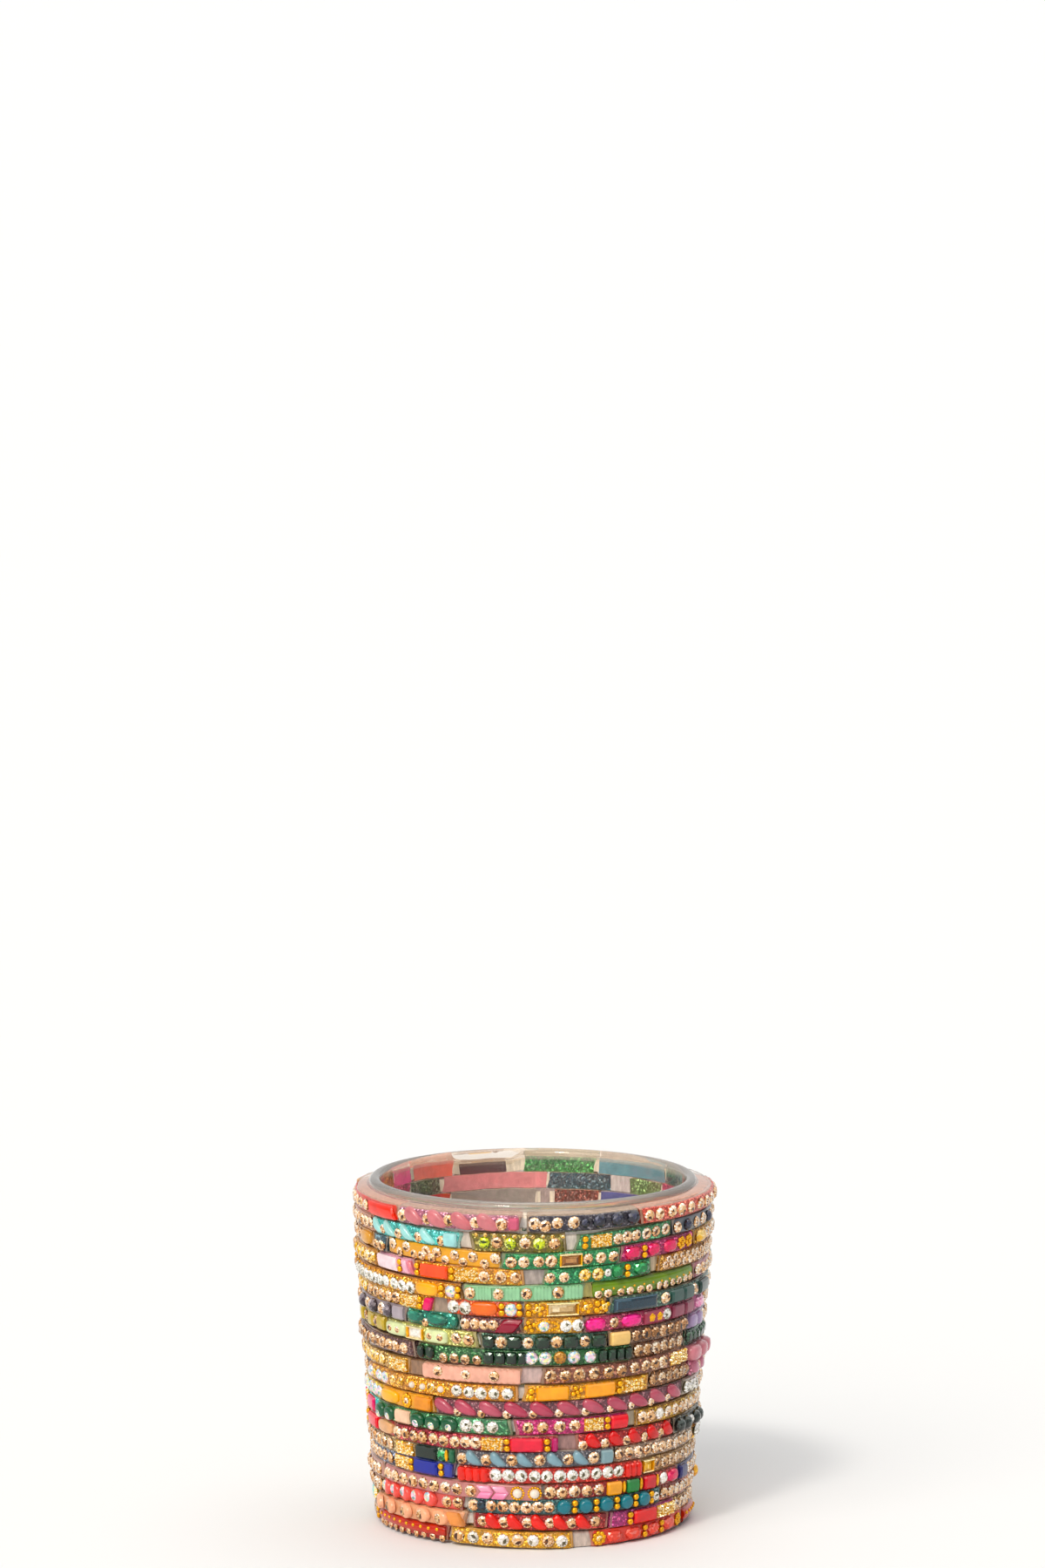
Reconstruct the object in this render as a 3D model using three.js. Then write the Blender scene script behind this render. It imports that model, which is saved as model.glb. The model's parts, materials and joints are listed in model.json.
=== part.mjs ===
// Tealight holder: a clear glass tumbler with rows of cut bangle arcs glued round its outside.
// Millimetres, +Z up, origin on the axis at the foot. Angles are degrees round the axis, 0 at the
// front (-Y) and positive towards +X.
import * as THREE from "three";

// Glass tumbler
const rimRadius = 40.7; // outside of the wall, carried up to the rim plane
const wallDraft = 3.84; // lean of the wall, in degrees from upright
const wallThickness = 3.0;
const baseThickness = 6.0;
const footRounding = 1.5;
const puntRadius = 24.0; // shallow hollow under the base, so the glass stands on a ring
const puntDepth = 1.2;
const puntSlope = 3.0; // width of the sloping edge of that hollow
const floorFillet = 5.0; // rounding between the inner floor and the wall
const glassSides = 72;
const roundingSteps = 3;

// Bangle arcs
const arcHeight = 3.87;
const arcDepth = 3.7; // from the glue line to the outer face
const edgeChamfer = 0.6;
const arcFacet = 12; // longest step round an arc, in degrees

// How the arcs are stacked and glued
const stackBottom = 0.35; // lowest row's height above the table
const rowGap = 0.3;
const rimReveal = 2.6; // bare glass above the top row
const bondGap = 0.3; // glue line between the glass and an arc
const endGap = 0.5; // between the end of one arc and the next
const backArcLength = 38; // about how long the arcs round the back were cut
const glueWidth = 2.4; // clear glue that ties two back arcs end to end
const glueInset = 0.7; // how far that glue lies inside the arcs' faces
const glueSink = 1.6; // how far it lies below their outer faces

// Each row from the top down: the arcs at the front as [name, colour, start, end] in degrees, then the
// colour of the run of arcs that carries the row on round the back.
const rows = [
  { front: [["mauve", 0xc9748c, -48, -4], ["navy", 0x33364f, -2, 35.5]], back: 0xc4524c },
  { front: [["turquoise", 0x7fc9c6, -62.5, -24], ["olive", 0x8a8a2c, -20, 10.5]], back: 0x4f7d55 },
  { front: [["ochre", 0xdb9a2c, -54.5, -10.5], ["green", 0x2e7a4b, -10, 29]], back: 0xb23a63 },
  { front: [["orange", 0xd9672c, -41.5, -3], ["green", 0x1f7a4a, 3.5, 41.5]], back: 0xd9a2a4 },
  { front: [["seafoam", 0x8fbf9f, -23, 16.5], ["lime", 0x6f9c22, 19, 65.5]], back: 0xcf8f3e },
  { front: [["orange_red", 0xd9562e, -29, -4], ["gold", 0xd7962b, -3, 25]], back: 0x3d6b73 },
  { front: [["gold", 0xcf8f2f, -3, 16.5], ["magenta", 0xc8356f, 17.5, 67]], back: 0x6f6a74 },
  { front: [["pistachio", 0xc6cf9c, -57.5, -19], ["dark_green", 0x25443a, -17.5, 25.5]], back: 0x8a6a4a },
  { front: [["dark_green", 0x1f5a40, -42, 35], ["brown", 0x8c5d45, 36, 62.5]], back: 0x6e4b45 },
  { front: [["peach", 0xe8b7a4, -39.5, -4], ["brown", 0x95604f, 3, 63.5]], back: 0xb07a7c },
  { front: [["gold_glitter", 0xcd8a33, -77, -5], ["yellow", 0xf0a41c, -3, 43]], back: 0xb3687c },
  { front: [["mauve", 0xb9566c, -35.5, 63.5]], back: 0xe0a23c },
  { front: [["green", 0x3f7a4c, -69, -7.5], ["magenta", 0xc24a7a, -6, 34.5]], back: 0xc69243 },
  { front: [["crimson", 0xb53442, -55.5, 8.5], ["red", 0xcf2f35, 15.5, 57.5]], back: 0x3a403a },
  { front: [["dusty_blue", 0x7f9ba5, -27, 29], ["champagne", 0xb59373, 30, 77]], back: 0x2f4a3c },
  { front: [["navy", 0x3c4192, -57.5, -29], ["red", 0xc9423c, -27, 41.5]], back: 0xb48a5c },
  { front: [["pink", 0xdc8fa6, -65.5, 3], ["red_brown", 0x9a4440, 4, 63.5]], back: 0x3b3f63 },
  { front: [["coral", 0xd95a57, -69, -26], ["teal", 0x24595c, -24, 52]], back: 0xa5564f },
  { front: [["peach", 0xe0a988, -75, -25], ["red", 0xcb3434, -22, 28]], back: 0xb8546f },
  { front: [["red", 0xb83a38, -75, -32.5], ["gold", 0xd69b35, -31, 14.5]], back: 0xd45c58 },
];

const rowPitch = arcHeight + rowGap;
const stackTop = stackBottom + rows.length * rowPitch - rowGap;
const tumblerHeight = stackTop + rimReveal;
const fullTurn = 360;

// Outside radius of the glass wall at a height.
function wallRadius(z) {
  return rimRadius - (tumblerHeight - z) * Math.tan(THREE.MathUtils.degToRad(wallDraft));
}

// The angle that a length covers on the outside of the arcs at a height.
function degreesFor(length, z) {
  return THREE.MathUtils.radToDeg(length / (wallRadius(z) + bondGap + arcDepth));
}

function makeTumbler() {
  const lipRadius = wallThickness / 2;
  const lipHeight = tumblerHeight - lipRadius;
  const filletHeight = baseThickness + floorFillet;
  const filletCentre = wallRadius(filletHeight) - wallThickness - floorFillet;
  const outline = new THREE.Path();
  outline.moveTo(0, puntDepth);
  outline.lineTo(puntRadius - puntSlope, puntDepth);
  outline.lineTo(puntRadius, 0);
  outline.absarc(wallRadius(0) - footRounding, footRounding, footRounding, -Math.PI / 2, 0, false);
  outline.absarc(rimRadius - lipRadius, lipHeight, lipRadius, 0, Math.PI, false);
  outline.absarc(filletCentre, filletHeight, floorFillet, 0, -Math.PI / 2, true);
  outline.lineTo(0, baseThickness);
  const geometry = new THREE.LatheGeometry(outline.getPoints(roundingSteps), glassSides);
  geometry.rotateX(Math.PI / 2);
  const glass = new THREE.MeshStandardMaterial({ color: 0xdfe6e4, roughness: 0.05, metalness: 0 });
  const mesh = new THREE.Mesh(geometry, glass);
  mesh.name = "glass_tumbler";
  return mesh;
}

// Section of an arc as [radius, height] points: its back follows the glass, its outer edges are chamfered.
// The back stands clear of the glass at the middle of each flat step, so its corners lie a little further out.
function arcSection(low, high, depth) {
  const facetReach = 1 / Math.cos(THREE.MathUtils.degToRad(arcFacet / 2));
  const backRadius = (z) => (wallRadius(z) + bondGap) * facetReach;
  const faceRadius = (z) => wallRadius(z) + bondGap + depth;
  return [
    [backRadius(low), low],
    [faceRadius(low) - edgeChamfer, low],
    [faceRadius(low + edgeChamfer), low + edgeChamfer],
    [faceRadius(high - edgeChamfer), high - edgeChamfer],
    [faceRadius(high) - edgeChamfer, high],
    [backRadius(high), high],
  ];
}

// The section set at an angle round the axis.
function ringAt(section, degrees) {
  const angle = THREE.MathUtils.degToRad(degrees);
  return section.map(([radius, z]) => [radius * Math.sin(angle), -radius * Math.cos(angle), z]);
}

// Rings along one arc, in equal steps.
function arcRings(section, start, end) {
  const steps = Math.ceil((end - start) / arcFacet);
  const rings = [];
  for (let step = 0; step <= steps; step += 1) {
    rings.push(ringAt(section, THREE.MathUtils.lerp(start, end, step / steps)));
  }
  return rings;
}

// Closed body through the rings, with a flat face at each end.
function sweptGeometry(rings) {
  const points = rings[0].length;
  const indices = [];
  const lastRing = (rings.length - 1) * points;
  for (let point = 1; point < points - 1; point += 1) {
    indices.push(0, point, point + 1);
    indices.push(lastRing, lastRing + point + 1, lastRing + point);
  }
  for (let ring = 0; ring < lastRing; ring += points) {
    for (let point = 0; point < points; point += 1) {
      const here = ring + point;
      const next = ring + ((point + 1) % points);
      indices.push(next, here, here + points);
      indices.push(next, here + points, next + points);
    }
  }
  const geometry = new THREE.BufferGeometry();
  geometry.setAttribute("position", new THREE.Float32BufferAttribute(rings.flat(2), 3));
  geometry.setIndex(indices);
  geometry.computeVertexNormals();
  return geometry;
}

function lacMesh(name, colour, rings) {
  const lac = new THREE.MeshStandardMaterial({ color: colour, roughness: 0.25, metalness: 0.1 });
  const mesh = new THREE.Mesh(sweptGeometry(rings), lac);
  mesh.name = name;
  return mesh;
}

// Arcs that carry a row on round the back, tied end to end by clear glue that is smaller than they are.
function backRunRings(low, high, start, end) {
  const section = arcSection(low, high, arcDepth);
  const glue = arcSection(low + glueInset, high - glueInset, arcDepth - glueSink);
  const glueAngle = degreesFor(glueWidth, low);
  const arcs = Math.round((end - start) / degreesFor(backArcLength, low));
  const length = (end - start + glueAngle) / arcs - glueAngle;
  const rings = [];
  for (let arc = 0; arc < arcs; arc += 1) {
    const from = start + arc * (length + glueAngle);
    rings.push(...arcRings(section, from, from + length));
    if (arc < arcs - 1) {
      rings.push(ringAt(glue, from + length));
      rings.push(ringAt(glue, from + length + glueAngle));
    }
  }
  return rings;
}

const holder = new THREE.Group();
holder.add(makeTumbler());
rows.forEach((row, index) => {
  const high = stackTop - index * rowPitch;
  const low = high - arcHeight;
  const rowName = "row_" + String(index + 1).padStart(2, "0");
  const section = arcSection(low, high, arcDepth);
  for (const [name, colour, start, end] of row.front) {
    holder.add(lacMesh(rowName + "_" + name + "_arc", colour, arcRings(section, start, end)));
  }
  const gapAngle = degreesFor(endGap, low);
  const backStart = row.front.at(-1)[3] + gapAngle;
  const backEnd = row.front[0][2] + fullTurn - gapAngle;
  holder.add(lacMesh(rowName + "_back_run", row.back, backRunRings(low, high, backStart, backEnd)));
});

export default holder;
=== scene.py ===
import json
import math
import random

import bpy
from mathutils import Euler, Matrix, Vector


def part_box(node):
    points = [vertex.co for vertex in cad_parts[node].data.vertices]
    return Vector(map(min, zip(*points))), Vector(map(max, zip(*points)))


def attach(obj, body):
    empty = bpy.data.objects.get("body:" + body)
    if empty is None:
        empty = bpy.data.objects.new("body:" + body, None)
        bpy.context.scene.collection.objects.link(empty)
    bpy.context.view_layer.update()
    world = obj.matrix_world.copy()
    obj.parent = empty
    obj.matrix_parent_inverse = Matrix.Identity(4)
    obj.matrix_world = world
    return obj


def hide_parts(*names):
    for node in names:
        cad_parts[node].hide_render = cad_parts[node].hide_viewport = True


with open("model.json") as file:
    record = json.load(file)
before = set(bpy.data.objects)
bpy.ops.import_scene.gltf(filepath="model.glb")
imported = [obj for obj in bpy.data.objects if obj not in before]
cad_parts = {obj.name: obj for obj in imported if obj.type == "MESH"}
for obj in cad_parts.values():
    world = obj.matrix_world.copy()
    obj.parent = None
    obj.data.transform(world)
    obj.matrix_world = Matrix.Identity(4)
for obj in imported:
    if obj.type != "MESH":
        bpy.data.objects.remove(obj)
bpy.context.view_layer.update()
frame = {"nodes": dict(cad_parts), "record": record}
mm = 0.001
print("frame:", len(frame["nodes"]), "solids")


# sRGB hex to the linear colour that shaders and colour attributes want
def linear(code):
    channels = [int(code[i:i + 2], 16) / 255 for i in (1, 3, 5)]
    return tuple(c / 12.92 if c <= 0.04045 else ((c + 0.055) / 1.055) ** 2.4 for c in channels) + (1.0,)


white = linear("#FFFFFF")


def blend(one, other, share):
    return tuple(a + (b - a) * share for a, b in zip(one, other))


# Adds one node: sockets given by name or number take a value or a link
def addNode(tree, kind, sockets=None, **settings):
    node = tree.nodes.new(kind)
    for name, value in settings.items():
        setattr(node, name, value)
    for key, value in (sockets or {}).items():
        if isinstance(value, bpy.types.NodeSocket):
            tree.links.new(value, node.inputs[key])
        else:
            node.inputs[key].default_value = value
    return node


# A new material, with the place of each point on its piece
def newMaterial(name):
    material = bpy.data.materials.new(name)
    material.use_nodes = True
    tree = material.node_tree
    tree.nodes.clear()
    place = addNode(tree, "ShaderNodeTexCoord")
    return material, tree, place.outputs["Object"]


def finishMaterial(tree, shader):
    addNode(tree, "ShaderNodeOutputMaterial", {"Surface": shader})


def perMillimetre(size):
    return 1 / (size * mm)


# Pressed soda-lime glass: clear, with the slow waves a mould leaves. The fire-polished lip is a little hazy,
# and the film of glue on the outside of the wall is milky, so light that runs down inside the wall comes back
# pale. The glue poured on the rim is nearly as clear as the glass
pressing = {"ior": 1.5, "waveSize": 14.0, "waveDepth": 0.3, "waveStrength": 0.02, "lampTint": "#FAFAF8"}
wallGlass = {"name": "pressedGlass", "tint": "#F6F6F2", "clear": 1.0, "roughness": 0.01}
lipGlass = {"name": "firePolishedLip", "tint": "#FCF4EC", "clear": 0.84, "roughness": 0.02}
gluedGlass = {"name": "gluedGlass", "tint": "#F2E6DA", "clear": 0.96, "roughness": 0.05}
pouredGlue = {"name": "pouredGlue", "tint": "#F0E4D8", "clear": 0.92, "roughness": 0.04}


def makeTumblerGlass(look):
    material, tree, where = newMaterial(look["name"])
    waves = addNode(tree, "ShaderNodeTexNoise", {
        "Vector": where, "Scale": perMillimetre(pressing["waveSize"]), "Detail": 1.0})
    bump = addNode(tree, "ShaderNodeBump", {
        "Height": waves.outputs["Fac"], "Strength": pressing["waveStrength"],
        "Distance": pressing["waveDepth"] * mm})
    glass = addNode(tree, "ShaderNodeBsdfPrincipled", {
        "Base Color": linear(look["tint"]), "Roughness": look["roughness"], "IOR": pressing["ior"],
        "Transmission Weight": look["clear"], "Normal": bump.outputs["Normal"]})
    # lamps shine through it, so the inside isn't left dark
    clear = addNode(tree, "ShaderNodeBsdfTransparent", {"Color": linear(pressing["lampTint"])})
    path = addNode(tree, "ShaderNodeLightPath")
    mix = addNode(tree, "ShaderNodeMixShader", {
        0: path.outputs["Is Shadow Ray"], 1: glass.outputs["BSDF"], 2: clear.outputs["BSDF"]})
    finishMaterial(tree, mix.outputs["Shader"])
    return material


# Colour of a face from its attribute, clouded a little by noise of a given size. The codes come from lit
# faces with some glare on them, so they are deepened
clouds = {"deepen": 1.15, "detail": 3.0, "low": 0.3, "high": 0.7}


def cloudedTint(tree, where, size, spread):
    face = addNode(tree, "ShaderNodeAttribute", attribute_name="tint")
    tint = addNode(tree, "ShaderNodeHueSaturation", {
        "Color": face.outputs["Color"], "Saturation": clouds["deepen"]})
    noise = addNode(tree, "ShaderNodeTexNoise", {
        "Vector": where, "Scale": perMillimetre(size), "Detail": clouds["detail"]})
    swing = addNode(tree, "ShaderNodeMapRange", {
        "Value": noise.outputs["Fac"], "From Min": clouds["low"], "From Max": clouds["high"],
        "To Min": 1 - spread, "To Max": 1 + spread})
    clouded = addNode(tree, "ShaderNodeVectorMath", {
        0: tint.outputs["Color"], 1: swing.outputs["Result"]}, operation="MULTIPLY")
    return clouded.outputs["Vector"], noise.outputs["Fac"]


# Cast polyester strip that a bangle is built on: milky, with upright streaks and a worn gloss
castResin = {"name": "castResin", "cloudSize": 0.9, "spread": 0.26, "stretch": 0.4, "bump": 0.25,
             "bumpDepth": 0.2,
             "finish": {"Roughness": 0.16, "IOR": 1.52, "Coat Weight": 0.25, "Coat Roughness": 0.06}}

# Pressed lac: opaque, glossy from the hot tool, slightly uneven
pressedLac = {"name": "pressedLac", "cloudSize": 1.8, "spread": 0.14, "bump": 0.25, "bumpDepth": 0.15,
              "finish": {"Roughness": 0.24, "IOR": 1.52, "Coat Weight": 0.15, "Coat Roughness": 0.06}}

# Foil-backed cut glass under a hard clear face: the light each facet sends back is painted into its face
# tint, as painted reflections, highlights and shade
foiledGlass = {"name": "foiledGlass", "cloudSize": 0.6, "spread": 0.2,
               "finish": {"Metallic": 0.35, "Roughness": 0.14, "Coat Weight": 0.5, "Coat Roughness": 0.02}}

# Gilt brass stampings and beads: bright, clouded a little at random; the deeper tone at a bead's foot is
# painted shade in its face tints, and the plates' bases show darker between their points
giltBrass = {"name": "giltBrass", "cloudSize": 0.7, "spread": 0.28, "bump": 0.3, "bumpDepth": 0.1,
             "finish": {"Metallic": 0.5, "Roughness": 0.26}}

# Moulded acrylic chips and beads: smooth, deep gloss, even colour with a faint pearl drift
mouldedAcrylic = {"name": "mouldedAcrylic", "cloudSize": 2.2, "spread": 0.13, "bump": 0.08, "bumpDepth": 0.2,
                  "finish": {"Roughness": 0.18, "IOR": 1.49, "Coat Weight": 0.15, "Coat Roughness": 0.04}}


# These five share a build: the face's own tint under clouds, which may lift the surface too
def makeClouded(look):
    material, tree, where = newMaterial(look["name"])
    if "stretch" in look:
        drawn = addNode(tree, "ShaderNodeMapping", {"Vector": where, "Scale": (1.0, 1.0, look["stretch"])})
        where = drawn.outputs["Vector"]
    colour, height = cloudedTint(tree, where, look["cloudSize"], look["spread"])
    sockets = {"Base Color": colour, **look["finish"]}
    if "bump" in look:
        bump = addNode(tree, "ShaderNodeBump", {
            "Height": height, "Strength": look["bump"], "Distance": look["bumpDepth"] * mm})
        sockets["Normal"] = bump.outputs["Normal"]
    solid = addNode(tree, "ShaderNodeBsdfPrincipled", sockets)
    finishMaterial(tree, solid.outputs["BSDF"])
    return material


# Glitter lac: foil flakes of about 0.2 mm in coloured lac, drawn at 0.4 mm so that they show in the render.
# Each flake is a cell with its own lean. A few, drawn at random, carry a painted glint, the lac's colour
# tripled and lifted with some metal; the rest keep the lac's colour, painted darker or lighter per flake as
# painted shade and sheen
glitterLac = {"name": "glitterLac", "flakeSize": 0.4, "cloudSize": 2.0, "spread": 0.2, "lean": 0.45,
              "darkest": 0.45, "lightest": 1.3, "flashFrom": 0.8, "flashEdge": 0.06, "flashGain": 3.0,
              "flashLift": (0.16, 0.16, 0.13), "flashMetal": 0.6,
              "finish": {"Roughness": 0.28, "Coat Weight": 0.2, "Coat Roughness": 0.08}}


def makeGlitterLac(look):
    material, tree, where = newMaterial(look["name"])
    colour = cloudedTint(tree, where, look["cloudSize"], look["spread"])[0]
    cells = addNode(tree, "ShaderNodeTexVoronoi", {
        "Vector": where, "Scale": perMillimetre(look["flakeSize"])})
    parts = addNode(tree, "ShaderNodeSeparateColor", {"Color": cells.outputs["Color"]})
    flash = addNode(tree, "ShaderNodeMapRange", {
        "Value": parts.outputs["Red"], "From Min": look["flashFrom"],
        "From Max": look["flashFrom"] + look["flashEdge"]})
    # painted shade and sheen: each flake's colour is scaled between darkest and lightest
    dark = addNode(tree, "ShaderNodeMapRange", {
        "Value": parts.outputs["Green"], "To Min": look["darkest"], "To Max": look["lightest"]})
    shaded = addNode(tree, "ShaderNodeVectorMath", {
        0: colour, 1: dark.outputs["Result"]}, operation="MULTIPLY")
    # painted glint: the lac's colour tripled and lifted
    bright = addNode(tree, "ShaderNodeVectorMath", {
        0: colour, 1: [look["flashGain"]] * 3, 2: look["flashLift"]}, operation="MULTIPLY_ADD")
    mixed = addNode(tree, "ShaderNodeMix", {
        "Factor": flash.outputs["Result"], "A": shaded.outputs["Vector"], "B": bright.outputs["Vector"]},
        data_type="VECTOR")
    shape = addNode(tree, "ShaderNodeNewGeometry")
    lean = addNode(tree, "ShaderNodeVectorMath", {
        0: cells.outputs["Color"], 1: [2 * look["lean"]] * 3, 2: [-look["lean"]] * 3},
        operation="MULTIPLY_ADD")
    leaned = addNode(tree, "ShaderNodeVectorMath", {
        0: lean.outputs["Vector"], 1: shape.outputs["Normal"]}, operation="ADD")
    facing = addNode(tree, "ShaderNodeVectorMath", {0: leaned.outputs["Vector"]}, operation="NORMALIZE")
    metal = addNode(tree, "ShaderNodeMath", {
        0: flash.outputs["Result"], 1: look["flashMetal"]}, operation="MULTIPLY")
    lac = addNode(tree, "ShaderNodeBsdfPrincipled", {
        "Base Color": mixed.outputs[1], "Metallic": metal.outputs["Value"],
        "Normal": facing.outputs["Vector"], "Coat Normal": shape.outputs["Normal"], **look["finish"]})
    finishMaterial(tree, lac.outputs["BSDF"])
    return material


# Painted board of the studio floor, with a trace of grain
floorPaint = {"name": "floorPaint", "tint": "#F3F7FC", "grainSize": 60.0, "smoothest": 0.7, "roughest": 0.8}


def makeFloorPaint(look):
    material, tree, where = newMaterial(look["name"])
    grain = addNode(tree, "ShaderNodeTexNoise", {"Vector": where, "Scale": perMillimetre(look["grainSize"])})
    rough = addNode(tree, "ShaderNodeMapRange", {
        "Value": grain.outputs["Fac"], "To Min": look["smoothest"], "To Max": look["roughest"]})
    paint = addNode(tree, "ShaderNodeBsdfPrincipled", {
        "Base Color": linear(look["tint"]), "Roughness": rough.outputs["Result"]})
    finishMaterial(tree, paint.outputs["BSDF"])
    return material


tumblerMaterials = [makeTumblerGlass(look) for look in (wallGlass, lipGlass, gluedGlass)]
wallPart, lipPart, gluedPart = range(3)
rimMaterial = makeTumblerGlass(pouredGlue)
barMaterials = [makeClouded(castResin), makeClouded(pressedLac), makeGlitterLac(glitterLac)]
resinPart, lacPart, glitterPart = range(3)
trimMaterials = {"stones": makeClouded(foiledGlass), "gilt": makeClouded(giltBrass),
                 "inlay": makeClouded(mouldedAcrylic)}
trimSlots = {"stones": "cut_stones", "gilt": "gilt", "inlay": "lac_mixed"}
print("materials made")


# A heap gathers the shapes of one piece, with a colour, a material number and a shading for each face
def newHeap():
    return {"points": [], "faces": [], "tints": [], "parts": [], "smooth": []}


def addToHeap(heap, points, faces, tints, parts=0, smooth=True):
    first = len(heap["points"])
    heap["points"].extend(points)
    heap["faces"].extend([first + i for i in face] for face in faces)
    heap["tints"].extend(tints)
    heap["parts"].extend([parts] * len(faces) if isinstance(parts, int) else parts)
    heap["smooth"].extend([smooth] * len(faces))


def makePiece(name, heap, materials, slotName, nodes=(), sharpAngle=38):
    mesh = bpy.data.meshes.new(name)
    mesh.from_pydata(heap["points"], [], heap["faces"])
    for material in materials:
        mesh.materials.append(material)
    mesh.polygons.foreach_set("material_index", heap["parts"])
    mesh.set_sharp_from_angle(angle=math.radians(sharpAngle))
    mesh.polygons.foreach_set("use_smooth", heap["smooth"])
    colours = mesh.color_attributes.new("tint", "FLOAT_COLOR", "CORNER")
    corners = []
    for face, tint in zip(heap["faces"], heap["tints"]):
        corners.extend(tint * len(face))
    colours.data.foreach_set("color", corners)
    mesh.update()
    piece = bpy.data.objects.new(name, mesh)
    bpy.context.scene.collection.objects.link(piece)
    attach(piece, "root")
    if nodes:
        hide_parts(*nodes)
    return piece


# What the frame says of a row: how high it lies and how far out its arcs reach
def readRow(number):
    names = [name for name in frame["nodes"] if name.startswith("row_%02d_" % number)]
    places = [v.co for name in names for v in frame["nodes"][name].data.vertices]
    radii = [math.hypot(p.x, p.y) / mm for p in places]
    heights = [p.z / mm for p in places]
    return {"high": max(heights), "middle": (min(heights) + max(heights)) / 2,
            "height": max(heights) - min(heights), "face": max(radii), "back": min(radii)}


rowCount = max(int(name[4:6]) for name in frame["nodes"] if name.startswith("row_"))
rows = {number: readRow(number) for number in range(1, rowCount + 1)}
topRow, bottomRow = rows[1], rows[rowCount]
leanAngle = math.atan((topRow["face"] - bottomRow["face"]) / (topRow["middle"] - bottomRow["middle"]))
leanSin, leanCos, leanTan = math.sin(leanAngle), math.cos(leanAngle), math.tan(leanAngle)
widestAt = 0.35  # an arc is widest this share of its height above its middle
for row in rows.values():
    row["face"] -= widestAt * row["height"] * leanTan
    row["depth"] = row["face"] - row["back"]
slots = {part["node"]: part["material_slot"] for part in frame["record"]["subparts"]}
tableClearance = 0.1


# A place on an arc: degrees round the holder, then mm up and out from the middle of the arc's face
def onArc(arc, degrees, up, out):
    row = rows[arc["row"]]
    along = (degrees - arc["start"]) / (arc["end"] - arc["start"])
    rise = up + arc["lift"][0] + (arc["lift"][1] - arc["lift"][0]) * along
    proud = arc["proud"] * max(0.0, 1 + out / row["depth"])  # the back stays on the glass
    radius = row["face"] + proud + rise * leanSin + out * leanCos
    height = max(tableClearance, row["middle"] + rise * leanCos - out * leanSin)
    angle = math.radians(degrees)
    return (radius * math.sin(angle) * mm, -radius * math.cos(angle) * mm, height * mm)


def degreesOf(arc, length):
    return math.degrees(length / rows[arc["row"]]["face"])


# The middle in degrees and the length in mm of each span on an arc
def spansOn(arc, spans):
    face = rows[arc["row"]]["face"]
    return [((start + end) / 2, math.radians(end - start) * face) for start, end in spans]


# Sets a local shape on an arc: x along it, y up, z out, all in mm
def setShape(heap, arc, degrees, shape, up=0.0, out=0.0, turn=0.0, lean=(0.0, 0.0)):
    spin = Euler((lean[0], lean[1], turn)).to_matrix()
    moved = [spin @ Vector(p) for p in shape["points"]]
    points = [onArc(arc, degrees + degreesOf(arc, p.x), up + p.y, out + p.z) for p in moved]
    addToHeap(heap, points, shape["faces"], shape["tints"], 0, shape["smooth"])


def shifted(shape, x, y):
    return dict(shape, points=[(a + x, b + y, c) for a, b, c in shape["points"]])


tipHeight = 0.02  # how far the middle of a top stands above its ring


# A shape of rings, from the sunk bottom to the top: each ring is (size, height, half step or not).
# paint gives a face its colour from its level, its side and which half of a split facet it is
def ringed(rings, sides, outline, paint, smooth):
    points, faces, tints = [], [], []
    for size, height, shift in rings:
        for side in range(sides):
            x, y = outline(math.tau * (side + 0.5 * shift) / sides)
            points.append((x * size, y * size, height))
    faces.append(list(range(sides))[::-1])
    tints.append(paint(0, 0, 0))
    for level in range(len(rings) - 1):
        low, high = level * sides, (level + 1) * sides
        twist = rings[level + 1][2] - rings[level][2]
        for side in range(sides):
            after = (side + 1) % sides
            if twist == 0:
                split = [[low + side, low + after, high + after, high + side]]
            elif twist > 0:
                split = [[low + side, low + after, high + side], [low + after, high + after, high + side]]
            else:
                split = [[low + side, high + after, high + side], [low + side, low + after, high + after]]
            faces.extend(split)
            tints.extend(paint(level, side, half) for half in range(len(split)))
    last = (len(rings) - 1) * sides
    points.append((0.0, 0.0, rings[-1][1] + tipHeight))
    for side in range(sides):
        faces.append([last + side, last + (side + 1) % sides, len(points) - 1])
        tints.append(paint(len(rings), side, 0))
    return {"points": points, "faces": faces, "tints": tints, "smooth": smooth}


# Rings of a form that stands on a sunk base; its crown gives sizes, shares of the height and half steps
def crowned(form, height=1.0):
    crown = [(size, share * height, shift) for size, share, shift in form["crown"]]
    return [(form["base"], -form["sink"], 0)] + crown


def evenly(tint):
    return lambda level, side, half: tint


def roundOutline(halfLength, halfHeight, power=2.0):
    def outline(angle):
        c, s = math.cos(angle), math.sin(angle)
        return (halfLength * math.copysign(abs(c) ** (2 / power), c),
                halfHeight * math.copysign(abs(s) ** (2 / power), s))
    return outline


# Faces of a body swept through stations of as many points each, with both ends closed
def sweptFaces(stations, count):
    faces = []
    for station in range(stations - 1):
        low, high = station * count, (station + 1) * count
        faces.extend([low + i, high + i, high + (i + 1) % count, low + (i + 1) % count] for i in range(count))
    faces.append(list(range(count)))
    faces.append(list(range((stations - 1) * count, stations * count))[::-1])
    return faces


def sweptShape(points, stations, count, tint):
    faces = sweptFaces(stations, count)
    return {"points": points, "faces": faces, "tints": [tint] * len(faces), "smooth": True}


# A shape drawn out along the arc: each station is (x, half height, thickness), with a bevelled section
loafForm = {"sink": 0.5, "crown": 0.12, "leastEdge": 0.05, "leastTop": 0.1}


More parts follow.
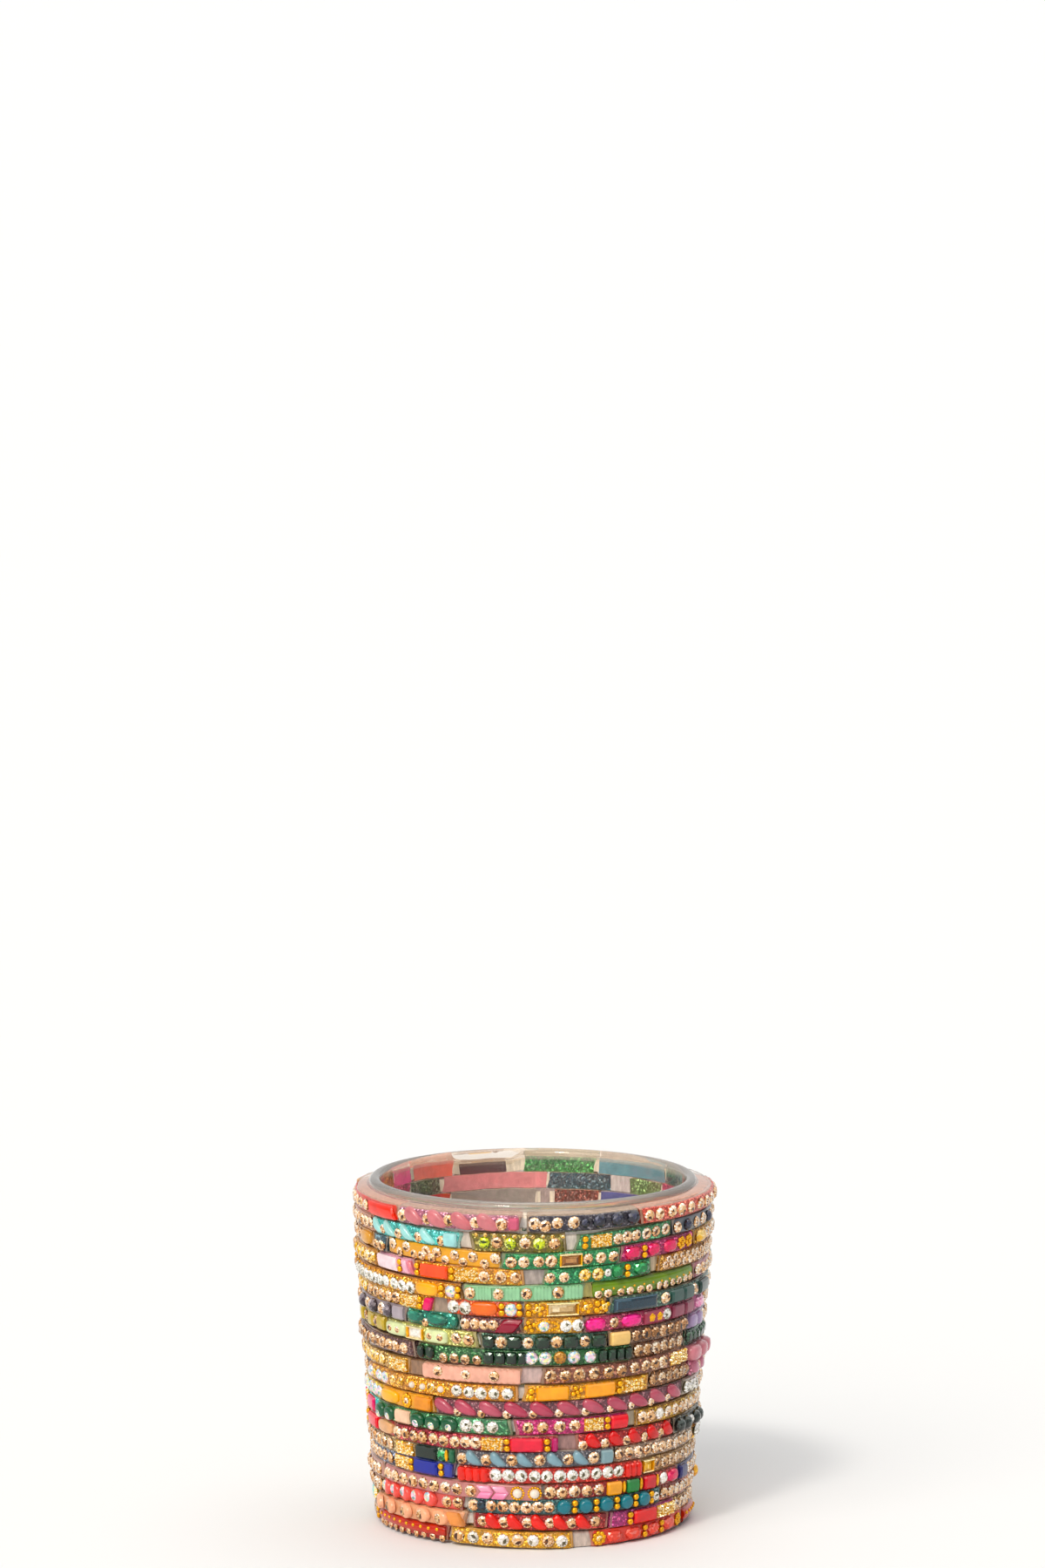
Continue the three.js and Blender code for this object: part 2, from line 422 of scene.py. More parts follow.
def loaf(stations, tint, bevel, slant=0.0, crown=loafForm["crown"]):
    points, sink = [], loafForm["sink"]
    for x, half, thick in stations:
        edge = max(thick - bevel, loafForm["leastEdge"])
        inner = max(half - bevel, loafForm["leastTop"])
        section = [(-half, -sink), (-half, edge), (-inner, thick), (0, thick + crown), (inner, thick),
                   (half, edge), (half, -sink)]
        points.extend((x + slant * y, y, z) for y, z in section)
    return sweptShape(points, len(stations), len(section), tint)


# Evenly spaced numbers from low to high, at most one step apart
def spaced(low, high, step):
    count = max(1, math.ceil((high - low) / step))
    return [low + (high - low) * i / count for i in range(count + 1)]


dice = random.Random(20)


# A number drawn by lot, as far as reach either way
def lot(reach):
    return dice.uniform(-reach, reach)


# Facet colours of the cut glass, with light and shade painted in: from the dark facets of painted shade to
# the flashes, which are painted highlights
facetTintsWithPaintedLight = {
    "champagne": ("#44240F", "#84522C", "#C28E60", "#E6BA8E", "#FAE0C0", "#FFFAF0"),
    "brown": ("#382014", "#664028", "#92643E", "#B88A60", "#E4C29C", "#FFF0DC"),
    "crystal": ("#565038", "#8E8872", "#BAB6A6", "#E8E4DA", "#FFFFFF", "#FFFFFF"),
    "aurora": ("#7CA8A2", "#C2E4DC", "#FFFFFF", "#EED2E4", "#F6EEB8", "#BEDCF0"),
    "topaz": ("#855510", "#C68C28", "#ECB954", "#FFDF98", "#FFF6DA"),
    "citrine": ("#925A08", "#D38C16", "#F6B432", "#FFDC7C", "#FFF2C0"),
    "lime": ("#3C4708", "#7A8C0C", "#B6CA12", "#DCEA38", "#F6FFA8"),
    "navy": ("#0A0A12", "#171722", "#272836", "#46485C", "#A2A4B6"),
    "forest": ("#080E08", "#101E14", "#1A2E20", "#284632", "#48684E"),
    "emerald": ("#0A3C24", "#145E36", "#207842", "#4AA468", "#B8E6C8"),
    "teal": ("#08363E", "#105260", "#1A6C7A", "#3E94A2", "#A6DCE2"),
    "jade": ("#0A3C30", "#165E4C", "#247862", "#4A9C84", "#A2D6C0"),
    "crimson": ("#860C32", "#BC1644", "#DC2258", "#F04A78", "#FFA6C0"),
    "hotpink": ("#B4085C", "#E00E76", "#F21886", "#FF4AA0", "#FFA8D2"),
    "coral": ("#B4403C", "#DC5A52", "#EE6E64", "#F89088", "#FFC6BE"),
    "orange": ("#BE4812", "#E05E22", "#F27C38", "#FCA260", "#FFD2A4"),
    "amber": ("#C67A0E", "#EC9C1C", "#FBB430", "#FFCB62", "#FFE6A8"),
    "pink": ("#B4487E", "#D874A4", "#EC9CC0", "#FAC4DA", "#FFEAF2"),
    "pearl": ("#C9C0B0", "#E8E2D6", "#F6F2EA", "#FFFFFF"),
    "slate": ("#0A1016", "#14222C", "#223846", "#4A6474"),
    "jet": ("#0A0C0A", "#161A18", "#262C28", "#3E4844", "#8A9690"),
    "cocoa": ("#20100A", "#442816", "#6A4428", "#8E623C", "#BE8E66", "#EED0B0"),
    "toffee": ("#7A4E22", "#A06C34", "#BC8648", "#D0A062"),
    "smoke": ("#2A2228", "#4E444C", "#7E747C", "#BCB2B8"),
    "honey": ("#6E5230", "#A08054", "#CBAE82", "#EBD9B6"),
}
# Gilt tints: shade is painted shade at a bead's foot, body the gilt's own colour, bright a painted highlight
# on a bead's crown and also the colour of a frame's posts, pale the colour of a frame's rails
gilt = {"shade": linear("#855414"), "body": linear("#D09038"), "bright": linear("#F4BA60"),
        "pale": linear("#FFF0C4")}


def tintsOf(kind):
    return [linear(code) for code in facetTintsWithPaintedLight[kind]]


# Painted light: how much a facet faces the light, which comes from above and a little from the left. Facets
# that face it are given lighter tints
lightFrom = {"above": 0.8, "left": 0.35}


def lightOn(side, sides, turn=0.0):
    angle = math.tau * (side + 0.5) / sides + turn
    return lightFrom["above"] * math.sin(angle) - lightFrom["left"] * math.cos(angle)


def pick(tints, shade):
    return tints[max(0, min(len(tints) - 1, round(shade)))]


# Round rhinestone, with light and shade painted into its facet tints: a dark girdle of painted shade,
# light crown facets, lighter still where they face the painted light from above and the left, and on the
# table a dark eye to one side, a painted reflection where the foil turns from the light. Shades are shares of
# the way from the kind's darkest tint to its lightest, and moods and swings are in tints
cutStone = {"radius": 1.52, "sizes": (0.95, 1.05), "height": 0.5, "sides": 10, "base": 0.97, "sink": 0.4,
            "crown": ((1.0, 0.12, 0), (0.83, 0.62, 1), (0.54, 1.0, 0)), "along": 0.15, "across": 0.12,
            "wobble": 0.12, "eye": (0.14, 0.42), "mood": (-0.8, 0.5), "crownShades": (0.46, 0.84),
            "crownSwing": (-1.2, 1.0), "tableShade": 0.6, "tableSwing": (-0.2, 0.8), "tableMood": 0.5}


def stoneShape(kind, radius, turn):
    tints, sides = tintsOf(kind), cutStone["sides"]
    top = len(tints) - 1
    eye = dice.randrange(sides)
    wide = dice.uniform(*cutStone["eye"]) * sides
    mood = dice.uniform(*cutStone["mood"])

    def paint(level, side, half):
        # painted shade: the sunk foot and girdle take the darkest tint
        if level == 0:
            return tints[0]
        # painted reflection: the table's eye takes the darkest tints, the rest of the table light ones
        if level > len(cutStone["crown"]):
            shade = 0.0 if (side - eye) % sides < wide else top * cutStone["tableShade"]
            return pick(tints, shade + dice.uniform(*cutStone["tableSwing"]) + cutStone["tableMood"] * mood)
        # painted light: crown facets facing up and to the left are given lighter tints
        shade = top * cutStone["crownShades"][half] + lightOn(side, sides, turn) + mood
        return pick(tints, shade + dice.uniform(*cutStone["crownSwing"]))

    rings = crowned(cutStone, cutStone["height"] * radius)
    return ringed(rings, sides, roundOutline(radius, radius), paint, False)


def layStones(make, arc, kind, places, size=1.0, up=0.0, out=0.0):
    wobble = cutStone["wobble"]
    for place in places:
        radius = cutStone["radius"] * size * dice.uniform(*cutStone["sizes"])
        turn = dice.random()
        setShape(make["stones"], arc, place + lot(cutStone["along"]), stoneShape(kind, radius, turn),
                 up=up + lot(cutStone["across"]), out=out, turn=turn, lean=(lot(wobble), lot(wobble)))


# Faceted oval or lump that fills the arc's height: broad facets, with a dark foot of painted shade and
# painted light that makes the upper facets lighter than the lower
ovalStone = {"halfHeight": 1.66, "sides": 10, "power": 2.5, "base": 0.98, "sink": 0.4,
             "crown": ((1.0, 0.15, 0), (0.84, 0.748, 1), (0.5, 1.1, 0)), "sideShade": 1.6, "light": 1.2,
             "sideSwing": (-0.5, 0.6), "tableShade": 2, "tableSwing": (-0.4, 0.6)}


def layOvals(make, arc, kind, spans, tall=1.0, power=ovalStone["power"]):
    tints, sides = tintsOf(kind), ovalStone["sides"]

    def paint(level, side, half):
        if level == 0:
            return tints[0]
        if level > len(ovalStone["crown"]):
            return pick(tints, ovalStone["tableShade"] + dice.uniform(*ovalStone["tableSwing"]))
        # painted light: facets facing up and to the left are given lighter tints
        shade = ovalStone["sideShade"] + ovalStone["light"] * lightOn(side, sides)
        return pick(tints, shade + dice.uniform(*ovalStone["sideSwing"]))

    for middle, length in spansOn(arc, spans):
        outline = roundOutline(length / 2, ovalStone["halfHeight"] * tall, power)
        setShape(make["stones"], arc, middle, ringed(crowned(ovalStone), sides, outline, paint, False))


# Round faceted bead, set half deep, with light and shade painted into its facet tints: a dark foot of painted
# shade, facets painted lighter towards the top and the upper left, and a darker tip
facetBead = {"radius": 1.8, "sides": 9, "base": 0.92, "sink": 0.5, "turn": 0.8, "shade": 1.1, "light": 1.1,
             "crown": ((1.0, 0.2, 0), (0.88, 0.5, 1), (0.62, 0.76, 0), (0.3, 0.88, 1)),
             "rise": 0.3, "swing": 0.5, "tip": 0.8}


def layBeads(make, arc, kind, places, radius=facetBead["radius"], up=0.0):
    tints, sides = tintsOf(kind), facetBead["sides"]
    for place in places:
        turn = dice.uniform(0, facetBead["turn"])

        def paint(level, side, half):
            # painted light: lighter facing up and to the left, and lighter at each level up
            shade = facetBead["shade"] + facetBead["light"] * lightOn(side, sides, turn)
            shade += facetBead["rise"] * level
            shade += lot(facetBead["swing"]) - (facetBead["tip"] if level > len(facetBead["crown"]) else 0.0)
            return tints[0] if level == 0 else pick(tints, shade)

        shape = ringed(crowned(facetBead, radius), sides, roundOutline(radius, radius), paint, False)
        setShape(make["stones"], arc, place, shape, up=up, turn=turn)


# Gilt bead, with painted shade at its foot and a painted highlight on its crown. Set in upright pairs, alone
# as dots, or drawn out upright as rondelles
giltBead = {"radius": 0.84, "sides": 10, "base": 0.85, "sink": 0.4, "apart": 1.02, "along": 0.1, "out": 0.1,
            "crown": ((1.0, 0.25, 0), (0.88, 0.66, 0), (0.58, 0.92, 0), (0.25, 1.0, 0))}
smallBead = {"radius": 0.4, "sides": 8, "across": 0.05}
rondelle = {"radius": 0.55, "stretch": 2.9, "out": 0.2}


def beadShape(radius, sides=giltBead["sides"], stretch=1.0):
    tones = [gilt["shade"], gilt["body"], gilt["bright"]]

    def paint(level, side, half):
        # painted shade at the foot, painted highlight from the second level up
        return pick(tones, level)

    return ringed(crowned(giltBead, radius), sides, roundOutline(radius, radius * stretch), paint, True)


def layPairs(make, arc, places):
    radius = giltBead["radius"]
    for place in places:
        for side in (-1, 1):
            setShape(make["gilt"], arc, place + lot(giltBead["along"]), beadShape(radius),
                     up=side * radius * giltBead["apart"], out=giltBead["out"])


def layDots(make, arc, places, radius=smallBead["radius"], up=0.0, out=0.0):
    for place in places:
        setShape(make["gilt"], arc, place, beadShape(radius, smallBead["sides"]),
                 up=up + lot(smallBead["across"]), out=out)


def layRondelles(make, arc, places):
    for place in places:
        setShape(make["gilt"], arc, place, beadShape(rondelle["radius"], stretch=rondelle["stretch"]),
                 out=rondelle["out"])


# Gilt stamped plate: a thin base under close and uneven cut points
giltPlate = {"halfHeight": 1.6, "thick": 0.3, "bevel": 0.1, "step": 1.2, "tint": "#D49C44", "pitch": 0.8,
             "uneven": 0.2, "sides": (4, 5, 6), "sizes": (0.45, 0.8), "squat": 0.8, "foot": 0.15, "tip": 0.45,
             "heights": (0.15, 0.55),
             "pointTints": ("#FFF4D4", "#FFF4D4", "#FFF4D4", "#FADA94", "#FADA94", "#E4B054")}


def layPlates(make, arc, spans):
    half, pitch, thick = giltPlate["halfHeight"], giltPlate["pitch"], giltPlate["thick"]
    tones = [linear(code) for code in giltPlate["pointTints"]]
    for middle, length in spansOn(arc, spans):
        stations = [(x, half, thick) for x in spaced(-length / 2, length / 2, giltPlate["step"])]
        base = loaf(stations, linear(giltPlate["tint"]), giltPlate["bevel"], crown=0.0)
        setShape(make["gilt"], arc, middle, base)
        for x in spaced(-length / 2 + pitch / 2, length / 2 - pitch / 2, pitch):
            for y in spaced(-half + pitch / 2, half - pitch / 2, pitch):
                size = pitch * dice.uniform(*giltPlate["sizes"])
                high = thick + dice.uniform(*giltPlate["heights"])
                rings = [(1.0, giltPlate["foot"], 0), (giltPlate["tip"], high, 0)]
                outline = roundOutline(size, size * giltPlate["squat"])
                point = ringed(rings, dice.choice(giltPlate["sides"]), outline,
                               lambda level, side, half: dice.choice(tones), False)
                askew = (lot(giltPlate["uneven"]), lot(giltPlate["uneven"]))
                setShape(make["gilt"], arc, middle, shifted(point, x + askew[0], y + askew[1]))


# Gilt flower: petals round a middle, which may be a pearl or a stone
giltFlower = {"petals": 6, "reach": 1.05, "petal": 0.64, "collar": 0.36, "turn": 0.25, "middle": 0.55,
              "stone": 0.62, "out": 0.3}
pearlDome = {"size": 0.8, "sides": 14, "tint": "#ECE2D6", "base": 1.0, "sink": 0.3,
             "crown": ((1.0, 0.3, 0), (0.85, 0.75, 0), (0.5, 1.05, 0), (0.2, 1.15, 0))}


def layFlowers(make, arc, places, pearl=False, reach=giltFlower["reach"], petals=giltFlower["petals"],
               stone=None, out=0.0):
    petal = beadShape(giltFlower["collar"] if pearl else giltFlower["petal"], smallBead["sides"])
    for place in places:
        for i in range(petals):
            around = math.tau * (i + giltFlower["turn"]) / petals
            setShape(make["gilt"], arc, place + degreesOf(arc, reach * math.cos(around)), petal,
                     up=reach * math.sin(around), out=out)
        if pearl:
            outline = roundOutline(reach * pearlDome["size"], reach * pearlDome["size"])
            setShape(make["inlay"], arc, place, ringed(crowned(pearlDome), pearlDome["sides"], outline,
                                                       evenly(linear(pearlDome["tint"])), True))
        elif stone:
            layStones(make, arc, stone, [place], size=giltFlower["stone"], out=out + giltFlower["out"])
        else:
            setShape(make["gilt"], arc, place, beadShape(giltFlower["middle"], smallBead["sides"]),
                     out=out + giltFlower["out"])


# Bevelled acrylic chip, curved with the arc; slant leans its ends
chip = {"halfHeight": 1.64, "thick": 0.9, "bevel": 0.42, "endDraw": 0.15, "step": 1.0}


def layChips(make, arc, code, spans, slant=0.0, thick=chip["thick"], tall=1.0):
    half, cut = chip["halfHeight"] * tall, chip["bevel"]
    for middle, length in spansOn(arc, spans):
        low, high = -length / 2, length / 2
        stations = [(low, half - chip["endDraw"], thick - cut)]
        stations += [(x, half, thick) for x in spaced(low + cut, high - cut, chip["step"])]
        stations.append((high, half - chip["endDraw"], thick - cut))
        setShape(make["inlay"], arc, middle, loaf(stations, linear(code), cut, slant))


# Chips that stand as pillows: no bevel, round all over
pillow = {"high": 1.05, "power": 3.0, "sides": 24, "base": 1.0, "sink": 0.4,
          "crown": ((1.0, 0.25, 0), (0.94, 0.6, 0), (0.78, 0.86, 0), (0.5, 0.97, 0), (0.2, 1.0, 0))}


def layPillows(make, arc, code, spans, tall=1.0, high=pillow["high"], power=pillow["power"]):
    for middle, length in spansOn(arc, spans):
        outline = roundOutline(length / 2, chip["halfHeight"] * tall, power)
        shape = ringed(crowned(pillow, high), pillow["sides"], outline, evenly(linear(code)), True)
        setShape(make["inlay"], arc, middle, shape)


# One lobe of a twisted bangle: a comma that leans across the arc, fuller at its upper end
lobe = {"halfLength": 2.7, "halfWidth": 1.42, "slope": -0.62, "fuller": 0.28, "blunt": 0.9, "curl": 0.5,
        "paler": 0.04, "sides": 20, "base": 1.0, "sink": 0.3,
        "crown": ((1.0, 0.1, 0), (0.9, 0.55, 0), (0.7, 0.85, 0), (0.38, 1.0, 0))}


def layLobes(make, arc, code, places, slope=lobe["slope"], halfLength=lobe["halfLength"], wide=1.0,
             curl=lobe["curl"]):
    def leaf(angle):
        c, s = math.cos(angle), math.sin(angle)
        x = halfLength * c
        y = wide * lobe["halfWidth"] * (1 - lobe["fuller"] * c) * math.copysign(abs(s) ** lobe["blunt"], s)
        y += curl * (c * c - 0.5)
        return (x * math.cos(slope) - y * math.sin(slope), x * math.sin(slope) + y * math.cos(slope))

    for place in places:
        tint = blend(linear(code), white, dice.uniform(0.0, lobe["paler"]))
        setShape(make["inlay"], arc, place, ringed(crowned(lobe), lobe["sides"], leaf, evenly(tint), True))


# Ribbed block: upright ridges pressed in the lac
rib = {"pitch": 0.85, "halfHeight": 1.7, "thick": 0.5, "ridge": 0.1, "groove": 0.2, "round": 0.7, "facets": 6,
       "bevel": 0.3, "crown": 0.06}


def layRibs(make, arc, code, spans, pitch=rib["pitch"], tall=1.0, ridge=rib["ridge"]):
    half, groove, facets = rib["halfHeight"] * tall, rib["groove"], rib["facets"]
    for middle, length in spansOn(arc, spans):
        steps = facets * max(2, round(length / pitch))
        stations = []
        for i in range(steps + 1):
            wave = abs(math.sin(math.pi * i / facets))
            stations.append((length * (i / steps - 0.5), half - groove + groove * wave,
                             rib["thick"] + ridge * wave ** rib["round"]))
        setShape(make["inlay"], arc, middle, loaf(stations, linear(code), rib["bevel"], crown=rib["crown"]))


# Scallops: round lobes that overlap like shells, each tipped over the next
scallop = {"radius": 2.5, "halfHeight": 1.95, "sides": 20, "base": 1.0, "sink": 0.5, "paler": 0.1,
           "turn": 0.05, "lean": -0.32,
           "crown": ((1.0, 0.2, 0), (0.92, 0.6, 0), (0.72, 0.88, 0), (0.35, 1.0, 0))}


def layScallops(make, arc, code, places, radius=scallop["radius"]):
    outline = roundOutline(radius, scallop["halfHeight"])
    for place in places:
        tint = blend(linear(code), white, dice.uniform(0.0, scallop["paler"]))
        shape = ringed(crowned(scallop), scallop["sides"], outline, evenly(tint), True)
        setShape(make["inlay"], arc, place, shape, turn=lot(scallop["turn"]), lean=(0.0, scallop["lean"]))


# Half-round tube laid along the arc
tube = {"half": 1.4, "high": 1.05, "up": 0.35, "sink": 0.3, "points": 9, "step": 1.2, "endShrink": 0.8}


def layTubes(make, arc, code, spans, high=tube["high"]):
    count = tube["points"]
    for middle, length in spansOn(arc, spans):
        points = []
        xs = spaced(-length / 2, length / 2, tube["step"])
        for index, x in enumerate(xs):
            shrink = tube["endShrink"] if index in (0, len(xs) - 1) else 1.0
            for i in range(count):
                turn = math.pi * i / (count - 1)
                points.append((x, tube["up"] - tube["half"] * shrink * math.cos(turn),
                               high * shrink * math.sin(turn) - tube["sink"]))
        setShape(make["inlay"], arc, middle, sweptShape(points, len(xs), count, linear(code)))


# Step-cut oblong stone, in a gilt frame or bare. Its steps are (inset, height), and its long sides have three
# facets; painted light makes the facets of the upper side lighter than those of the lower
baguette = {"halfHeight": 1.6, "rim": 0.36, "frameHigh": 0.8, "frameBevel": 0.12, "frameStep": 1.0,
            "postInset": 0.02, "taper": 1.3, "along": (-1.0, -0.33, 0.33, 1.0),
            "steps": ((0.0, -0.3), (0.0, 0.3), (0.32, 0.46), (0.36, 0.54), (0.68, 0.66), (0.72, 0.72)),
            "lower": 0.3, "upper": 1.5, "swing": 0.5, "tableSwing": 0.8}


def layFrame(make, arc, middle, length):
    half, rim, high, bevel = [baguette[name] for name in ("halfHeight", "rim", "frameHigh", "frameBevel")]
    for y in (-half + rim / 2, half - rim / 2):
        stations = [(x, rim / 2, high) for x in spaced(-length / 2, length / 2, baguette["frameStep"])]
        setShape(make["gilt"], arc, middle, shifted(loaf(stations, gilt["pale"], bevel), 0, y))
    for x in (-length / 2 + rim / 2, length / 2 - rim / 2):
        stations = [(x + side * rim / 2, half - baguette["postInset"], high) for side in (-1, 1)]
        setShape(make["gilt"], arc, middle, loaf(stations, gilt["bright"], bevel))


def layBaguettes(make, arc, kind, spans, framed=True):
    tints, xs, steps = tintsOf(kind), baguette["along"], baguette["steps"]
    ring, inset = 2 * len(xs), baguette["rim"] if framed else 0.0
    top = (len(steps) - 1) * ring
    for middle, length in spansOn(arc, spans):
        if framed:
            layFrame(make, arc, middle, length)
        points, faces, colours = [], [], []
        for step, z in steps:
            along = length / 2 - (inset + step) * baguette["taper"]
            across = baguette["halfHeight"] - (inset + step)
            points.extend((x * along, -across, z) for x in xs)
            points.extend((x * along, across, z) for x in xs[::-1])
        for level in range(len(steps) - 1):
            for i in range(ring):
                here, after = level * ring + i, level * ring + (i + 1) % ring
                faces.append([here, after, after + ring, here + ring])
                # painted light: facets on the upper side are given lighter tints than those on the lower
                shade = level % 2 + baguette["upper" if i >= len(xs) else "lower"]
                colours.append(pick(tints, shade + lot(baguette["swing"])))
        for i in range(len(xs) - 1):
            faces.append([top + i, top + i + 1, top + ring - 2 - i, top + ring - 1 - i])
            colours.append(pick(tints, len(tints) / 2 + lot(baguette["tableSwing"])))
        faces.append(list(range(ring))[::-1])
        colours.append(tints[0])
        shape = {"points": points, "faces": faces, "tints": colours, "smooth": False}
        setShape(make["stones"], arc, middle, shape)


# Wire drop: small gilt grains on a teardrop line, round a stone
wireDrop = {"grains": 22, "grain": 0.38, "sides": 6, "half": 1.5, "point": 0.45}


def layDrops(make, arc, spans):
    grain = beadShape(wireDrop["grain"], wireDrop["sides"])
    for middle, length in spansOn(arc, spans):
        half = length / 2
        for i in range(wireDrop["grains"]):
            around = math.tau * i / wireDrop["grains"]
            x = -half * math.cos(around)
            y = wireDrop["half"] * math.sin(around) * (1 - wireDrop["point"] * (1 + x / half) / 2)
            setShape(make["gilt"], arc, middle + degreesOf(arc, x), grain, up=y)


# Chevron: two leaning bands that meet along the middle, the upper one paler. A band's stations are
# (x, thickness)
chevron = {"pitch": 3.4, "halfBand": 0.8, "lean": 0.7, "bevel": 0.2, "paler": 0.14,
           "band": ((-1.6, 0.5), (-1.2, 0.85), (1.2, 0.85), (1.6, 0.5))}


def layChevrons(make, arc, code, spans):
    band = chevron["halfBand"]
    stations = [(x, band, thick) for x, thick in chevron["band"]]
    for middle, length in spansOn(arc, spans):
        count = max(2, round(length / chevron["pitch"]))
        for i in range(count):
            x = length * ((i + 0.5) / count - 0.5)
            for side in (-1, 1):
                tint = blend(linear(code), white, chevron["paler"] if side > 0 else 0.0)
                leaf = loaf(stations, tint, chevron["bevel"], -chevron["lean"] * side)
                setShape(make["inlay"], arc, middle + degreesOf(arc, x), shifted(leaf, 0, band * side))


# Chart words: each gives one run of trim on an arc, with its places or spans in degrees
def trimWord(lay, kinds):
    def word(*values, **more):
        return lay, list(values[:kinds]) + [list(values[kinds:])], more
    return word


stones, ovals, beads, chips, pillows, lobes, ribs, scallops, tubes, baguettes, chevrons = [
    trimWord(lay, 1) for lay in (layStones, layOvals, layBeads, layChips, layPillows, layLobes, layRibs,
                                 layScallops, layTubes, layBaguettes, layChevrons)]
pairs, dots, rondelles, plates, flowers, drops = [
    trimWord(lay, 0) for lay in (layPairs, layDots, layRondelles, layPlates, layFlowers, layDrops)]


# Places a step apart; the odd thousandth keeps the last one where rounding would lose it
def every(start, end, step):
    return [start + step * i for i in range(int((end - start) / step + 1.001))]


# One arc of the chart: where it runs, its lac and finish, then its trim. node names the solid it stands for
def arc(start, end, code, finish, *trim, node=None, tall=1.0):
    return {"start": start, "end": end, "code": code, "finish": finish, "trim": trim, "node": node,
            "tall": tall}


def bare(start, end, code="#C6BAAE"):
    return arc(start, end, code, "bare")


champ = "champagne"  # the stone that most arcs carry

